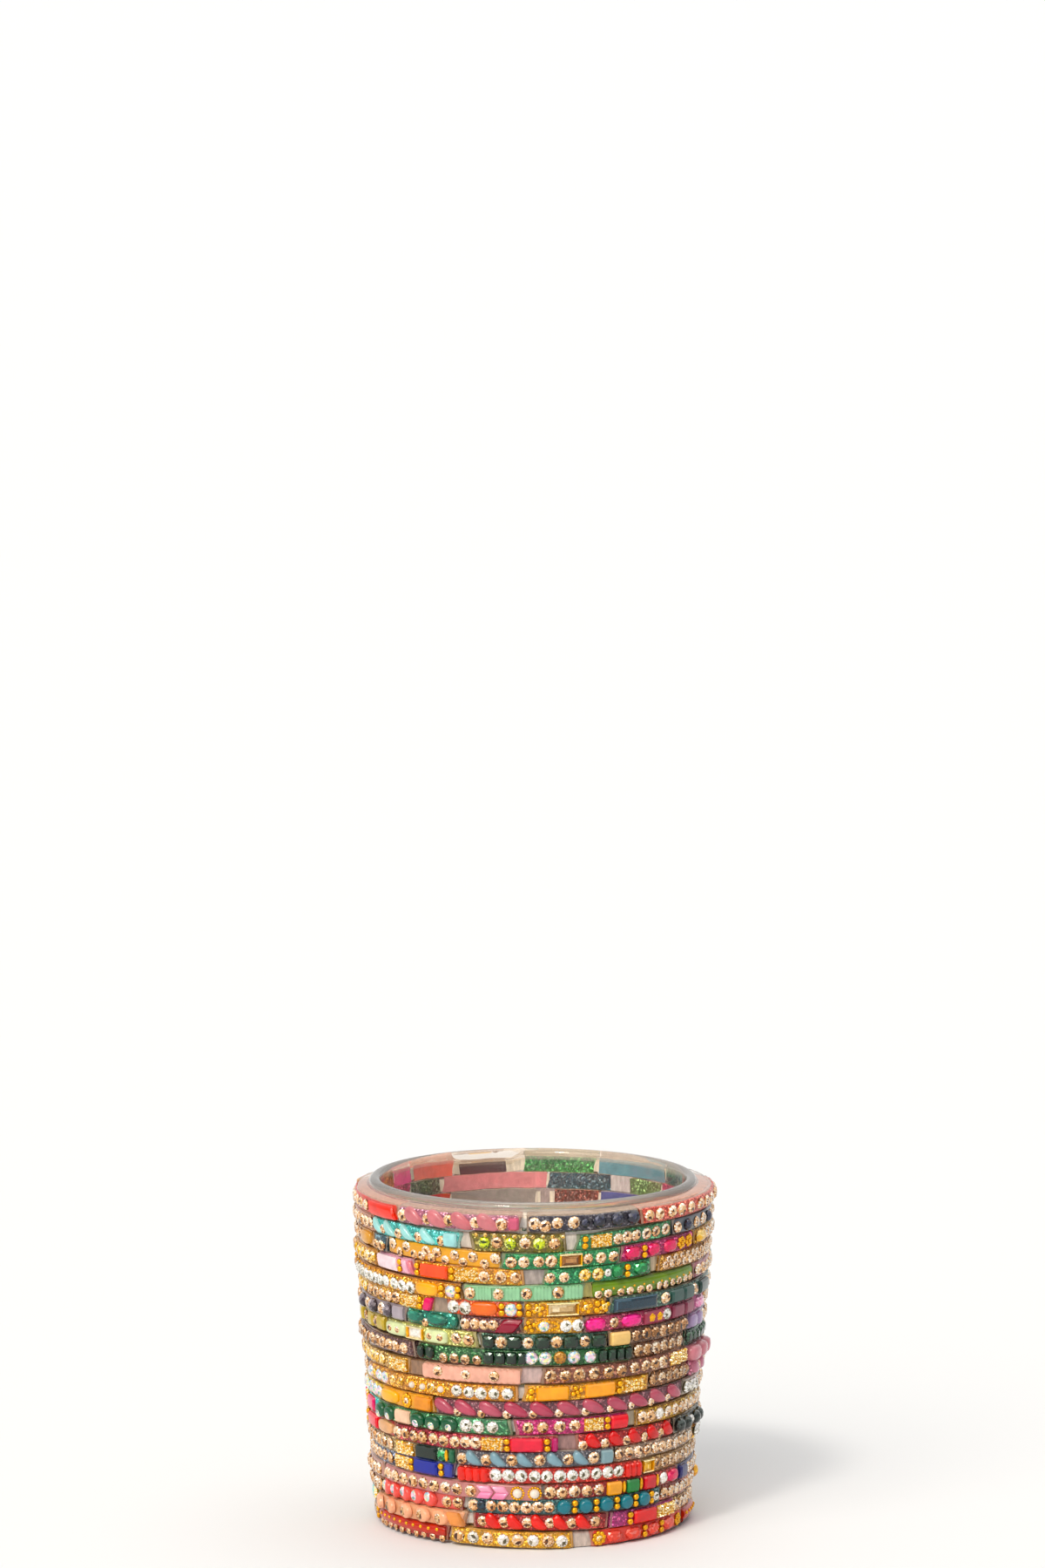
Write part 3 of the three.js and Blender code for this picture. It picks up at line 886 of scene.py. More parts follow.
# The rows from the top down, each from the left to the right of the front
rowChart = {
    1: [
        arc(-84, -51, "#C9564C", "lac", stones(champ, -81, -76.5, -71.5),
            chips("#F0463A", (-67, -52), slant=-0.4)),
        arc(-50, -4, "#AC7082", "glitter", stones(champ, -47.5, -37, -28.5, -19, -10.5),
            lobes("#C87A80", -42.5, -33, -24, -15, halfLength=3.1, wide=1.25, slope=-0.5, curl=0.1),
            chips("#CE6F86", (-8, -4.6), tall=0.9), node="mauve"),
        arc(-2, 37, "#332F3C", "glitter", stones(champ, 0.5, 8, 13.5, up=0.15), stones(champ, 4, up=-0.5),
            beads("navy", 17.2, radius=1.2), beads("navy", 22, 28.5, 34.6, up=0.35), node="navy"),
        arc(38, 88, "#D2695F", "glitter", stones(champ, 41, 45.5, 51.3, 56.5, 62, 69, 75, 81)),
    ],
    2: [
        arc(-88, -66, "#B58A78", "lac", stones(champ, -85, -80.5, -76, -71.5, -67.5)),
        arc(-65, -25, "#5CB8B2", "glitter", lobes("#A4DCDA", -62.5, -55.5, -46.5, -37.5, wide=0.85),
            chips("#A8DEDF", (-31, -26)), stones(champ, -59.5, -51, -41.5, -32.2, size=0.85, up=-0.5),
            node="turquoise"),
        bare(-24.5, -21.5),
        arc(-20.8, 11, "#74692F", "glitter", stones("lime", -16.3, -7.6, 2), stones(champ, -12, -2.5, 7.2),
            stones("topaz", *every(-19, 10, 3.2), size=0.35, up=1.75), node="olive", tall=1.15),
        bare(11.5, 14.3, "#CCC4BA"),
        arc(14.6, 53, "#42805A", "glitter", pairs(17.5), plates((19.6, 27)),
            stones(champ, 29.3, 33, 36.5, 40.6, 45, 49.6)),
        arc(53.5, 92, "#5F666E", "lac", stones(champ, 55.5, 67.5, 73.5, 85),
            beads("navy", 61, 79, radius=1.5)),
    ],
    3: [
        arc(-92, -66.5, "#B98A54", "lac", pillows("#DBA45E", (-77, -68)), stones(champ, -88, -83, -79)),
        arc(-66, -57.5, "#3E5A66", "glitter", stones(champ, -63.5, -60, up=-0.4, size=0.9)),
        arc(-57, -11, "#E0A034", "lac",
            stones(champ, -54, -47, -38.3, -34, -27, -20.3, -12.8, up=0.5, size=0.92),
            stones(champ, -50.5, -43.5, -40.2, -36, -30.6, -24, -16.3, up=-1.0, size=0.82), node="ochre"),
        arc(-10.5, 30, "#2F7F50", "glitter", stones(champ, -7.3, -3, 1.8, 6),
            baguettes("brown", (8.8, 16.2)), stones(champ, 18.5, 23, 27.3, size=0.92), node="green"),
        arc(30.6, 66.5, "#A53A66", "glitter", ovals("crimson", (31.8, 38.2), (41, 46.5), (48.5, 55)),
            pairs(39.6), flowers(57.8, 62.4)),
        arc(67, 94, "#C98E3C", "glitter", ovals("topaz", (67.5, 74.5)), stones(champ, 78, 83, 88)),
    ],
    4: [
        arc(-90, -64, "#C58A3E", "glitter", stones("topaz", -86, -81, -76, -71, -66.6)),
        arc(-63.5, -44, "#D9A3B8", "lac", chips("#F6DFE6", (-63, -52.2), slant=-0.25), pairs(-50.6),
            chips("#F2BECF", (-49, -46.8), slant=-0.4), chips("#E08A94", (-46, -44.2), slant=-0.4)),
        arc(-43, -3, "#D08A34", "glitter", pairs(-42, -28.1), chips("#F2562F", (-40.6, -29.6)),
            plates((-26.6, -19)), stones(champ, -16.5, -10.8, -5.8), node="orange"),
        bare(-2.6, 3.2, "#A69A94"),
        arc(3.5, 43, "#1F7C4C", "glitter", stones(champ, 5.8, 10.2, size=0.95),
            stones("topaz", 17.4, 21.9, size=1.1), stones("crystal", 25.6, size=0.7),
            ovals("emerald", (27, 31.4), (35.4, 41.6)), pairs(32.7), node="green"),
        bare(43.6, 46.5, "#C8B498"),
        arc(47, 92, "#B27C42", "glitter", stones(champ, *every(49.5, 90, 3.7), size=0.72, up=-0.6),
            stones(champ, *every(51.3, 90, 3.7), size=0.6, up=0.9)),
    ],
    5: [
        arc(-90, -25, "#CF8C3C", "glitter",
            stones("crystal", -86, -81.5, -77.5, -73, -69, -65.5, -62, -58, -53.3, -49.2, -45.2, size=1.02,
                up=-0.3), dots(*every(-86, -34, 4.1), up=1.55, radius=0.35),
            pillows("#FDB02C", (-42.6, -33.2)), pairs(-32, -25.8), stones("aurora", -28.6, size=1.08)),
        arc(-24, 17, "#86B68E", "lac", stones(champ, -21.8, -11.6, -2, 8.4),
            ribs("#96C69E", (-19.3, -14), (-9.2, -4.4), (0.4, 6.2), (10.6, 16.8)), node="seafoam"),
        bare(17.4, 19.6, "#A0965C"),
        arc(20, 68, "#5E801C", "lac",
            stones(champ, 22.5, 26, 31, 34.8, 39, 43, 47.5, 50.8, 54.5, 58.5, 62.3, 66, size=0.72, up=-1.1,
                out=0.1), dots(*every(24, 66, 4.1), radius=0.34, up=0.05, out=0.2),
            tubes("#6C8E14", (20.5, 67.5), high=0.66), node="lime"),
        arc(68.6, 92, "#B4808A", "lac", stones(champ, 71, 76, 81, 86.5)),
    ],
    6: [
        arc(-92, -36.4, "#C99548", "glitter", stones("topaz", -88, -83, -78, size=0.9),
            stones(champ, -72, -67, -62.5, -58, -53.6), plates((-50.4, -43)), pairs(-41.6),
            chips("#E83E72", (-40, -36.6), slant=0.3)),
        bare(-36, -31, "#A08C7C"),
        arc(-30.4, -4, "#D5522F", "glitter", stones("crystal", -27.8, -23.6, size=1.1),
            pillows("#F2733A", (-21.4, -12)), pairs(-10.6, -4.6), stones("aurora", -7.6, size=1.08),
            node="orange_red"),
        arc(-3, 26, "#C98B2E", "glitter", pairs(-1.6, 22.2),
            flowers(1.9, 18.6, 25, stone="citrine", petals=4), baguettes("honey", (4.6, 15.6)),
            node="gold"),
        arc(26.6, 92, "#38584E", "glitter", baguettes("slate", (28, 46), framed=False),
            stones(champ, 50.3, 69, 85), chips("#30504A", (53, 59.6), (60.2, 66.6)),
            chips("#2A403C", (72.5, 82))),
    ],
    7: [
        arc(-92, -49, "#857A80", "lac", stones(champ, -88, -83, -74, -62.6),
            beads("smoke", -79, -68.3, -57.8), chips("#A79DA6", (-55, -49.6))),
        arc(-48.4, -26, "#2A7C6C", "glitter", ovals("jade", (-48, -40.2), (-39.2, -30.2), (-29.4, -26.2)),
            stones(champ, -39.8, size=0.7, up=-1.1)),
        arc(-25.6, -4, "#5E2E32", "glitter", stones(champ, -23.8, -20.2, -17, -13.9, size=0.95),
            chips("#92283A", (-11.6, -5), slant=0.75)),
        arc(-3, 17, "#CB8E33", "glitter", flowers(-1, petals=4), drops((1.2, 8.8)),
            stones("aurora", 3.6, size=0.92), stones("crystal", 11.2, 15.4, size=1.08), node="gold"),
        arc(18, 70, "#9C465C", "glitter", ovals("hotpink", (18, 25.8), (31.6, 40)),
            stones("brown", 29, size=0.95), chips("#A04A5C", (41, 49.4)),
            flowers(44, 47.6, reach=0.55, petals=5, out=0.5), stones("crystal", 52.3),
            chips("#944C5E", (55, 62), (63, 69)), node="magenta"),
        arc(70.6, 92, "#B56A8C", "lac", ovals("pink", (72, 79)), stones(champ, 83, 88)),
    ],
    8: [
        arc(-92, -61, "#A8924A", "lac", chips("#C3AC58", (-90, -84), (-75, -70.4), (-66.6, -61.6)),
            stones(champ, -80, -68.5, size=0.9)),
        arc(-60, -20, "#B3B06A", "glitter", pillows("#DAE4B4", (-59.6, -48.6), (-39.6, -30.4), power=4),
            stones(champ, -56.4, -52.2, -37.2, -33, size=0.62, up=0.1, out=0.8),
            baguettes("pearl", (-47.8, -40.4)), stones(champ, -27.2, -22.6), node="pistachio"),
        arc(-18, 26.5, "#1E4434", "glitter",
            ovals("forest", (-17.6, -13), (-9, -3.6), (0.5, 6), (10.2, 15.8), (20.2, 26), power=4),
            stones(champ, -11, -1.5, 8, 18), node="dark_green", tall=1.05),
        arc(27, 66, "#583A2A", "glitter", chips("#F0CB8C", (27.4, 34.8), thick=1.0),
            stones("cocoa", 37.8, 42.2, 46.2, 50.3, 54.6, 58.8, 63)),
        arc(66.6, 92, "#94809E", "lac", pillows("#AC98BC", (67, 73), (73.6, 79)), stones(champ, 83, 88)),
    ],
    9: [
        arc(-92, -45, "#5F4142", "glitter", stones("brown", *every(-88, -66, 4.4)),
            stones(champ, -62.2, -58.2, -54.2, -50)),
        arc(-44, 36.5, "#24562E", "glitter", ovals("forest", (-43.6, -40.2), (-39.8, -36)),
            stones("brown", -32.6, -28.2, -24, -19.7, up=-0.9, size=0.85),
            ovals("forest", (-17.2, -13.4), (-13.4, -9.4), (-9.4, -5.4), (-5.4, -2.4), tall=0.98, power=5),
            stones("aurora", -0.6, 4.2, 14.4, 20.2, size=1.08), stones("toffee", 9.2, size=1.08),
            ovals("forest", (23, 26.4), (26.4, 29.8), (29.8, 33), (33, 36.2), tall=0.98, power=5),
            node="dark_green"),
        arc(37.5, 65, "#744A34", "glitter", stones("brown", 39.6, 43.6, 47.8, 52.2, 56.6, 61.4, size=1.05),
            node="brown"),
        arc(65.6, 92, "#23493A", "glitter", stones("forest", *every(68, 90, 4.4))),
    ],
    10: [
        arc(-92, -49, "#BE9358", "glitter", stones("topaz", *every(-88, -64, 4.6)), plates((-59.4, -49.6))),
        bare(-48.6, -42, "#8C6E58"),
        arc(-41, -4, "#DEA894", "lac", ribs("#ECB6A4", (-41, -4.4), pitch=1.5, tall=1.06),
            stones(champ, -34.4, -23.6, -13.4, size=0.92, up=0.2, out=0.5), node="peach"),
        bare(-3.4, 2.4, "#C6AEAA"),
        arc(3, 66, "#7C4E40", "glitter",
            stones("brown", 6, 11, 16, 21.6, 27, 32.2, 37.6, 42.2, 46.6, 51, size=1.03), plates((55, 65.6)),
            node="brown"),
        arc(66.6, 92, "#AE7482", "lac",
            pillows("#D28C96", (66.8, 75), (75.6, 83), (83.6, 90), high=2.2, tall=1.2)),
    ],
    11: [
        arc(-80, -5, "#C88636", "glitter", stones("aurora", -76, -67.6, -62.8),
            stones("topaz", -72, -57.6, -53, -38, size=0.8),
            flowers(-46.6, -41.6, -33.8, pearl=True, petals=10),
            stones("crystal", -27.6, -22.9, -18.2, -13.5, -9, size=1.02), node="gold_glitter"),
        arc(-3, 45, "#D9962E", "glitter", pairs(-0.6, 31.6), chips("#FFA60C", (1.2, 12.6), (18.6, 29.8)),
            flowers(15.6, petals=4), plates((33.8, 41.6)), node="yellow"),
        arc(45.6, 70, "#8A5E3C", "glitter", stones("brown", 47.5, 51.8, 56, 60.4, 64.6, 68.4)),
        arc(70.6, 92, "#B46A80", "glitter", lobes("#C4788E", 75, 84), stones(champ, 79.5, 88.5, size=0.8)),
    ],
    12: [
        arc(-92, -66.5, "#C9A24E", "glitter", stones("aurora", *every(-88, -66, 4.8))),
        arc(-66, -38, "#E5A02C", "lac", pillows("#F6B42E", (-65.6, -54.6)),
            flowers(-50, petals=9, reach=1.3, stone=champ), chips("#E8901F", (-45.6, -38.2))),
        arc(-37, 66, "#6E444E", "glitter",
            lobes("#B4586A", -33, -24.6, -15.2, -6, 3.2, 12.8, 22, 31.4, 40.6, 50, 59.8, slope=-0.46,
                halfLength=3.2, wide=1.02, curl=0.0),
            stones(champ, -27.8, -18.6, -9.2, 0, 9.2, 18.9, 28.4, 37.4, 46.6, 55.6, size=0.72, up=-1.0),
            node="mauve"),
        arc(66.6, 92, "#B8AFA4", "lac", stones("crystal", 68.6, 73, 77.6, size=1.1), stones(champ, 82, 87)),
    ],
    13: [
        arc(-72, -8, "#45805A", "glitter",
            pillows("#165434", (-70.4, -64), (-63.6, -57.4), (-48, -41.4), (-41, -34.4), (-34, -27.4),
                power=2.2, tall=1.08, high=1.3),
            stones("aurora", -67.2, -60.5, -44.8, -37.6, -30.6, size=0.72, up=-0.6, out=0.9),
            chips("#F1CDB2", (-56.6, -48.6)), stones("crystal", -24.4, -19.6, -14.3, size=1.08),
            node="green"),
        arc(-6, 36, "#BA4A76", "glitter", stones(champ, -1.6, 3.6, 9.6, 15), plates((18.6, 26)),
            pairs(27.6), chips("#EE4047", (29, 36)), node="magenta"),
        bare(36.6, 39.6, "#A89C84"),
        arc(40, 92, "#BD9048", "glitter", stones(champ, 42.5, 46.6, 56, 61, 65.5, 70, 75, 80, 85),
            stones("pearl", 51.4)),
    ],
    14: [
        arc(-92, -59, "#C2605A", "lac", chips("#EC5058", (-82, -71.6)), pillows("#E6B48A", (-70.4, -59.6)),
            pairs(-86), stones(champ, -67.5, -62.5, size=0.6)),
        arc(-58, 9, "#963842", "glitter",
            stones(champ, -55.8, -51.4, -46.9, -42.4, -37.8, -33.2, -28.7, -24.6, -20.6),
            plates((-18.4, -10.6)), pairs(-9.2, 5), chips("#E42E44", (-8, 3.6)),
            chips("#B8386E", (6.6, 8.8)), node="crimson"),
        bare(9.8, 15.4, "#A07E7A"),
        arc(16, 60, "#9A3A3A", "glitter",
            lobes("#D81A1A", 22.4, 31.4, 39.6, 48.6, 57, slope=-0.72, halfLength=2.4),
            stones(champ, 18.4, 26.8, 35.8, 44.2, 52.8, size=0.85, up=-0.7), node="red"),
        arc(60.6, 92, "#2E322C", "glitter", beads("jet", 63.5, 69, 79, 84.5), stones("crystal", 74)),
    ],
    15: [
        arc(-92, -47.6, "#A08A66", "glitter", stones(champ, *every(-88, -61, 5)), plates((-58.4, -48.6))),
        arc(-47, -29, "#35503F", "glitter", chips("#16241C", (-46.6, -37)), stones("emerald", -34.8),
            rondelles(-32.6), chips("#2F6A4C", (-31.6, -29.4))),
        arc(-28, 30, "#55545C", "glitter",
            lobes("#7A9CAA", -21.6, -12.6, -3, 7.8, 17.2, slope=-0.72, wide=0.86, halfLength=2.4),
            stones(champ, -26.2, -17, -7.6, 2.6, 12.6, 22), chips("#84A0A8", (25, 29.6)),
            node="dusty_blue"),
        arc(31, 80, "#9A8270", "glitter", stones(champ, *every(32.8, 79, 4.25), size=0.92),
            node="champagne"),
    ],
    16: [
        arc(-92, -61, "#6C7488", "glitter", stones(champ, *every(-88, -62, 4.8))),
        arc(-60, -30, "#565C96", "lac", plates((-59.4, -51)), pairs(-49.6, -35.2),
            chips("#3B4098", (-48, -36.8)), chips("#4A50A2", (-33.8, -30.4)), node="navy"),
        arc(-28, 43, "#C4423C", "glitter",
            ribs("#E2362F", (-28, -16.4), (35.4, 42.6), pitch=1.75, ridge=0.5),
            stones("crystal", -13.6, -8.9, -4.2, 0.5, 5.2, 9.8, 14.4, 19, 23.6, 28.2, 32.6, size=1.04),
            node="red"),
        arc(43.6, 92, "#A98256", "glitter", baguettes("topaz", (44, 49.4)),
            stones("brown", *every(52, 90, 4.4))),
    ],
    17: [
        arc(-92, -69, "#B9948A", "lac", stones(champ, *every(-88, -70, 5), size=1.08)),
        arc(-68, 3, "#BC8684", "lac",
            stones(champ, -64.8, -59.6, -54.3, -49, -43.7, -38.6, -33.6, -28.6, -23, size=1.06),
            chevrons("#F39CBE", (-20.4, -9.2)), flowers(-5.6, 0.6, pearl=True, petals=14, reach=1.5),
            node="pink"),
        arc(4, 66, "#8E3C3A", "glitter", stones(champ, 6.2, 10.6, 15.2, 20, 24.8),
            chips("#F4A41C", (28, 34), thick=1.1), rondelles(35.2, 43, 51.6),
            chips("#2E7E40", (36.4, 41.8), thick=1.1), chips("#D6323A", (44.4, 50.2), thick=1.1),
            stones("pearl", 55.6), ovals("crimson", (58.2, 65.4)), node="red_brown"),
        arc(66.6, 92, "#3E3F66", "lac", chips("#3B3C6E", (67, 73)), stones(champ, 77, 82, 87)),
    ],
    18: [
        arc(-92, -73, "#B98E74", "lac", stones(champ, *every(-89, -74, 5), size=1.05)),
        arc(-72, -27, "#D8706C", "lac", scallops("#F06C66", -68, -61.4, -54.8, -48.2, -41.6),
            stones("aurora", -68, -61.4, -54.8, -48.2, -41.6, size=0.95, up=0.3, out=0.6),
            stones(champ, -33.4, -28.9), node="coral"),
        arc(-25, 54, "#20494C", "glitter",
            stones(champ, -22.2, -15.6, -11.2, -6.8, -2.5, 1.7, 5.9, size=0.98),
            stones("slate", -18.9, size=0.9),
            pillows("#1E7686", *[(p - 2.6, p + 2.6) for p in (11.4, 19.5, 27.7, 36.2, 44.4)], tall=1.1,
                high=1.35, power=2), pairs(15.4, 23.6, 32, 40.4, 48.2), stones("crystal", 51.2, size=0.8),
            node="teal"),
        arc(54.6, 92, "#9C5E54", "glitter", stones(champ, *every(57, 90, 4.6))),
    ],
    19: [
        arc(-78, -26, "#DFA988", "lac", scallops("#F4B896", -74.4, -64.6, -54.4, -45.2, -36.8, radius=3.1),
            stones("brown", -73.6, -63.8, -53.6, -44.4, -36, size=1.0, out=0.6),
            chips("#EBA26E", (-32.6, -26.8), slant=-0.4), node="peach"),
        arc(-23, 29, "#9E3436", "glitter",
            lobes("#E8241C", -14.8, -6.8, 2.2, 10.2, 18.8, slope=-0.75, halfLength=2.4),
            stones(champ, -19, -10.8, -2.2, 6.2, 14.4, 23.6, size=0.92), node="red"),
        arc(30, 64.5, "#A8487A", "glitter", pairs(38.2), chips("#EC4444", (40, 51.2)), plates((52, 63.6))),
        arc(65, 92, "#B98A5C", "glitter", stones(champ, *every(67, 90, 4.6))),
    ],
    20: [
        arc(-78, -34, "#9E3832", "lac", tubes("#C0443A", (-77.6, -34.6)),
            dots(-74, -70, -66, -62, -58, -54, -50, -46, -42, -38, radius=0.5, up=0.75, out=0.5),
            stones(champ, *every(-76, -36, 4.4), size=0.6, up=-1.4), node="red"),
        arc(-32, 15, "#D99E34", "glitter", stones(champ, -28.5, -17, -5.5, 5.6),
            stones("crystal", -22.6, -11.2, 0, 10.8, size=1.02), node="gold"),
        bare(16, 22, "#D2C4BA"),
        arc(22.6, 72.6, "#D9615A", "lac", flowers(25.5, stone="topaz", reach=1.3, petals=8),
            ovals("coral", (28.6, 35.4), (37, 44.6), (48.2, 54.4), (57.4, 65)), pairs(46.4, 56),
            flowers(68.6)),
        arc(73, 94, "#9E3832", "lac", tubes("#C0443A", (73.4, 93.6)),
            dots(*every(75, 92, 4), radius=0.5, up=0.75, out=0.5)),
    ],
}

# Arcs at the back whose inner faces show through the glass, from the right round to the left, in true
# degrees. The last number of one is how tall it is, where it is lower than the rest
backChart = {
    1: [(122, 155, "#6490A4", "lac"), (157, 183, "#0A7A34", "glitter"), (190, 208, "#4C323E", "lac", 0.72),
        (211, 230, "#F08880", "lac"), (232, 244, "#FF80BA", "lac")],
    2: [(124, 141, "#5E7A50", "glitter"), (142, 149, "#B9B5BC", "bare"), (150, 174, "#2C4A5C", "glitter"),
        (175, 215, "#DA96A0", "lac"), (217, 232, "#425442", "glitter")],
    3: [(155, 172, "#6A2E2C", "glitter"), (173, 178, "#A0949A", "bare"), (179, 212, "#968E90", "lac")],
}

# The other arcs round the back, which the picture doesn't show: the same sorts of bangle, drawn by lot
coatCodes = ["#C78496", "#D2695F", "#57BDB8", "#74692F", "#42805A", "#E0A034", "#A53A66", "#1F7C4C",
             "#CF8C3C", "#8DBE9C", "#6FA022", "#3F6B74", "#BA5478", "#21483A", "#8E6257", "#C88636",
             "#8E5266", "#963842", "#5F8088", "#C4423C", "#D4869C", "#20494C", "#DFA988", "#332F3C",
             "#565C96"]
chipCodes = ["#F0463A", "#F6DFE6", "#FBAE18", "#E83E72", "#3B4098", "#3D8E5E", "#F0CB8C", "#EE4047",
             "#4F8480", "#A8DEDF", "#D6E0B4", "#EBA26E"]
jewelKinds = ["jade", "crimson", "hotpink", "coral", "orange", "forest", "navy", "teal", "emerald", "amber"]
roundKinds = [champ, champ, champ, "brown", "crystal", "topaz", "aurora"]

# Usual arcs, in degrees: how long they are, how far a charted one may be carried on, what keeps their trim
# off the ends and the step from stone to stone. glitter is the share of them that have it
usualArc = {"degrees": 40, "uneven": 6, "gap": 1.0, "least": 7, "carry": 34, "tight": 18, "endClear": 1.8,
            "stoneStep": 4.4, "carryFrom": 2, "carryTo": 1.5, "glitter": 0.72}


def stoneRow(kind, low, high):
    return stones(kind, *every(low, high, usualArc["stoneStep"]))


# Chips and plates by turns, with a pair of beads before each chip, then stones for what is left, in degrees
chipTurn = {"least": 9, "whole": 12, "pairAt": 0.6, "chipFrom": 2, "chipTo": 10, "step": 11.4}
plateTurn = {"least": 8, "length": 7.4, "step": 8.6}
stonesFrom = 1.2


def chipsAndPlates(low, high, code):
    trim, place = [], low
    while place + chipTurn["least"] < high:
        reach = place + chipTurn["chipTo"] if place + chipTurn["whole"] < high else high
        trim += [pairs(place + chipTurn["pairAt"]), chips(code, (place + chipTurn["chipFrom"], reach))]
        place += chipTurn["step"]
        if place + plateTurn["least"] < high:
            trim.append(plates((place, place + plateTurn["length"])))
            place += plateTurn["step"]
    return trim + [stoneRow(champ, place + stonesFrom, high)]


# Ten ways to trim an arc, in degrees from its ends or its middle, and how often each is drawn
recipeWeights = (6, 2, 3, 1, 1, 1, 1, 1, 3, 1)


def drawnTrim(start, end):
    low, high = start + usualArc["endClear"], end - usualArc["endClear"]
    middle = (low + high) / 2
    kind, jewel, code = dice.choice(roundKinds), dice.choice(jewelKinds), dice.choice(chipCodes)
    recipes = [
        lambda: [stoneRow(kind, low + 0.6, high)],
        lambda: [lobes(code, *every(low + 4, high - 2, 9)),
                 stones(champ, *every(low, high, 9), size=0.8, up=-0.6)],
        lambda: chipsAndPlates(low, high, code),
        lambda: [ribs(code, *[(p, p + 5.6) for p in every(low, high - 5.6, 10)]),
                 stones(champ, *every(low + 7.8, high, 10))],
        lambda: [ovals(jewel, *[(p, p + 7) for p in every(low, high - 7, 9.6)]),
                 pairs(*every(low + 8.3, high, 9.6))],
        lambda: [beads(jewel, *every(low + 1.4, high - 1, 8.4)), pairs(*every(low + 5.6, high, 8.4))],
        lambda: [scallops(code, *every(low + 1.6, high - 1, 6.6)),
                 stones("aurora", *every(low + 1.6, high - 1, 6.6), size=0.8, up=0.2, out=0.6)],
        lambda: [stones("crystal", *every(low + 0.8, middle, 4.6), size=1.04),
                 pillows(code, (middle + 1.5, high - 3)), pairs(high - 0.4)],
        lambda: [plates((low, low + 7)), stoneRow(kind, low + 9, high - 3), pairs(high - 0.6)],
        lambda: [flowers(low + 1.5, high - 1.5), baguettes("honey", (middle - 5, middle + 5)),
                 stones(champ, middle - 7.4, middle + 7.4, size=0.9)],
    ]
    return dice.choices(recipes, weights=recipeWeights)[0]()


def drawnArc(low, high):
    finish = "glitter" if dice.random() < usualArc["glitter"] else "lac"
    return arc(low, high, dice.choice(coatCodes), finish, *drawnTrim(low, high))


# Arcs of about the usual length that fill a run of a row
def drawnArcs(start, end):
    count = max(1, round((end - start) / usualArc["degrees"]))
    half = usualArc["gap"] / 2
    cuts = [start + (end - start) * i / count for i in range(count + 1)]
    cuts = [cuts[0]] + [c + lot(usualArc["uneven"]) for c in cuts[1:-1]] + [cuts[-1]]
    return [drawnArc(low + half, high - half) for low, high in zip(cuts, cuts[1:])]


# Strip and coat of one bangle, in mm, and bareLap, step and cut in degrees: the strip lies on the glass and
# the coat on its face. Tints are the share of the resin colour, with its painted shade, in the colour of the
# strip's sides, and swell and sway are (rate along the arc, share) of the lumps that handwork leaves
bar = {"tall": 1.07, "backClear": 0.05, "chamfer": 0.3, "backChamfer": 0.12, "stripRound": 0.1,
       "coatDepth": 0.5, "coatInset": 0.14, "coatSink": 0.12, "coatRound": 0.4,
       "coatAngles": (0, 30, 60, 90), "crown": 0.1, "crownAt": 0.4, "bareTop": -0.9, "bareTall": 0.97,
       "bareLap": 1.2, "bareEnd": 0.55, "endRound": 0.4, "endDraw": 0.09, "faceFrom": -0.7, "step": 1.6,
       "cut": 0.5, "sideTint": 0.5, "topTint": 0.75, "lump": 0.06, "phases": 6.3,
       "swell": ((0.31, 1.0), (0.83, 0.7)), "sway": ((0.23, 1.0), (0.61, 0.6))}
# Colour of the clear resin in a strip's sides, darkened past the resin's own so that it also paints shade
# into the gaps between rows
resinAndGapShade = linear("#AE9A86")
glueTint = linear("#DDD8D0")


# Sum of a few waves, each of its own rate and share
def wander(waves, place, phases):
    return sum(share * math.sin(place * rate + phase) for (rate, share), phase in zip(waves, phases))


# Sweeps a section of (up, out) points along an arc, drawn in a little at both ends and cut a little askew
def sweepSection(heap, arc, start, end, section, tints, parts, endRound):
    pull, lump, swells, sways = degreesOf(arc, endRound), bar["lump"], bar["swell"], bar["sway"]
    places = [start] + spaced(start + pull, end - pull, bar["step"]) + [end]
    phases = [dice.uniform(0, bar["phases"]) for wave in swells + sways]
    points = []
    for index, place in enumerate(places):
        atEnd = index in (0, len(places) - 1)
        askew = arc["cut"][0 if index == 0 else 1] if atEnd else 0.0
        swell = lump * wander(swells, place, phases)
        sway = lump * wander(sways, place, phases[len(swells):])
        for up, out in section:
            onFace = out > bar["faceFrom"]
            reach = out + (swell if onFace else 0.0) - (endRound if atEnd and onFace else 0.0)
            rise = up * (1 - (bar["endDraw"] if atEnd else 0.0)) + sway
            points.append(onArc(arc, place + askew * up, rise, reach))
    rings = len(places) - 1
    addToHeap(heap, points, sweptFaces(len(places), len(section)), tints * rings + tints[:1] * 2,
              parts * rings + parts[:1] * 2)


# The first side of a strip is its back
def stripSection(half, depth, top):
    cut, back = bar["chamfer"], bar["backChamfer"]
    return [(half - back, -depth), (-half + back, -depth), (-half, -depth + back), (-half, top - cut),
            (-half + cut, top), (half - cut, top), (half, top - cut), (half, -depth + back)]


def coatSection(half, depth):
    turn, angles = bar["coatRound"], [math.radians(a) for a in bar["coatAngles"]]
    corner = [(1 - math.cos(a), 1 - math.sin(a)) for a in angles]
    lower = [(-half + turn * a, -turn * b) for a, b in corner]
    upper = [(half - turn * a, -turn * b) for a, b in corner[::-1]]
    crown = [(-half * bar["crownAt"], bar["crown"]), (half * bar["crownAt"], bar["crown"])]
    return [(-half, -depth)] + lower + crown + upper + [(half, -depth)]


def laySolid(heap, arc, start, end, section, tint, part, endRound):
    count = len(section)
    sweepSection(heap, arc, start, end, section, [tint] * count, [part] * count, endRound)


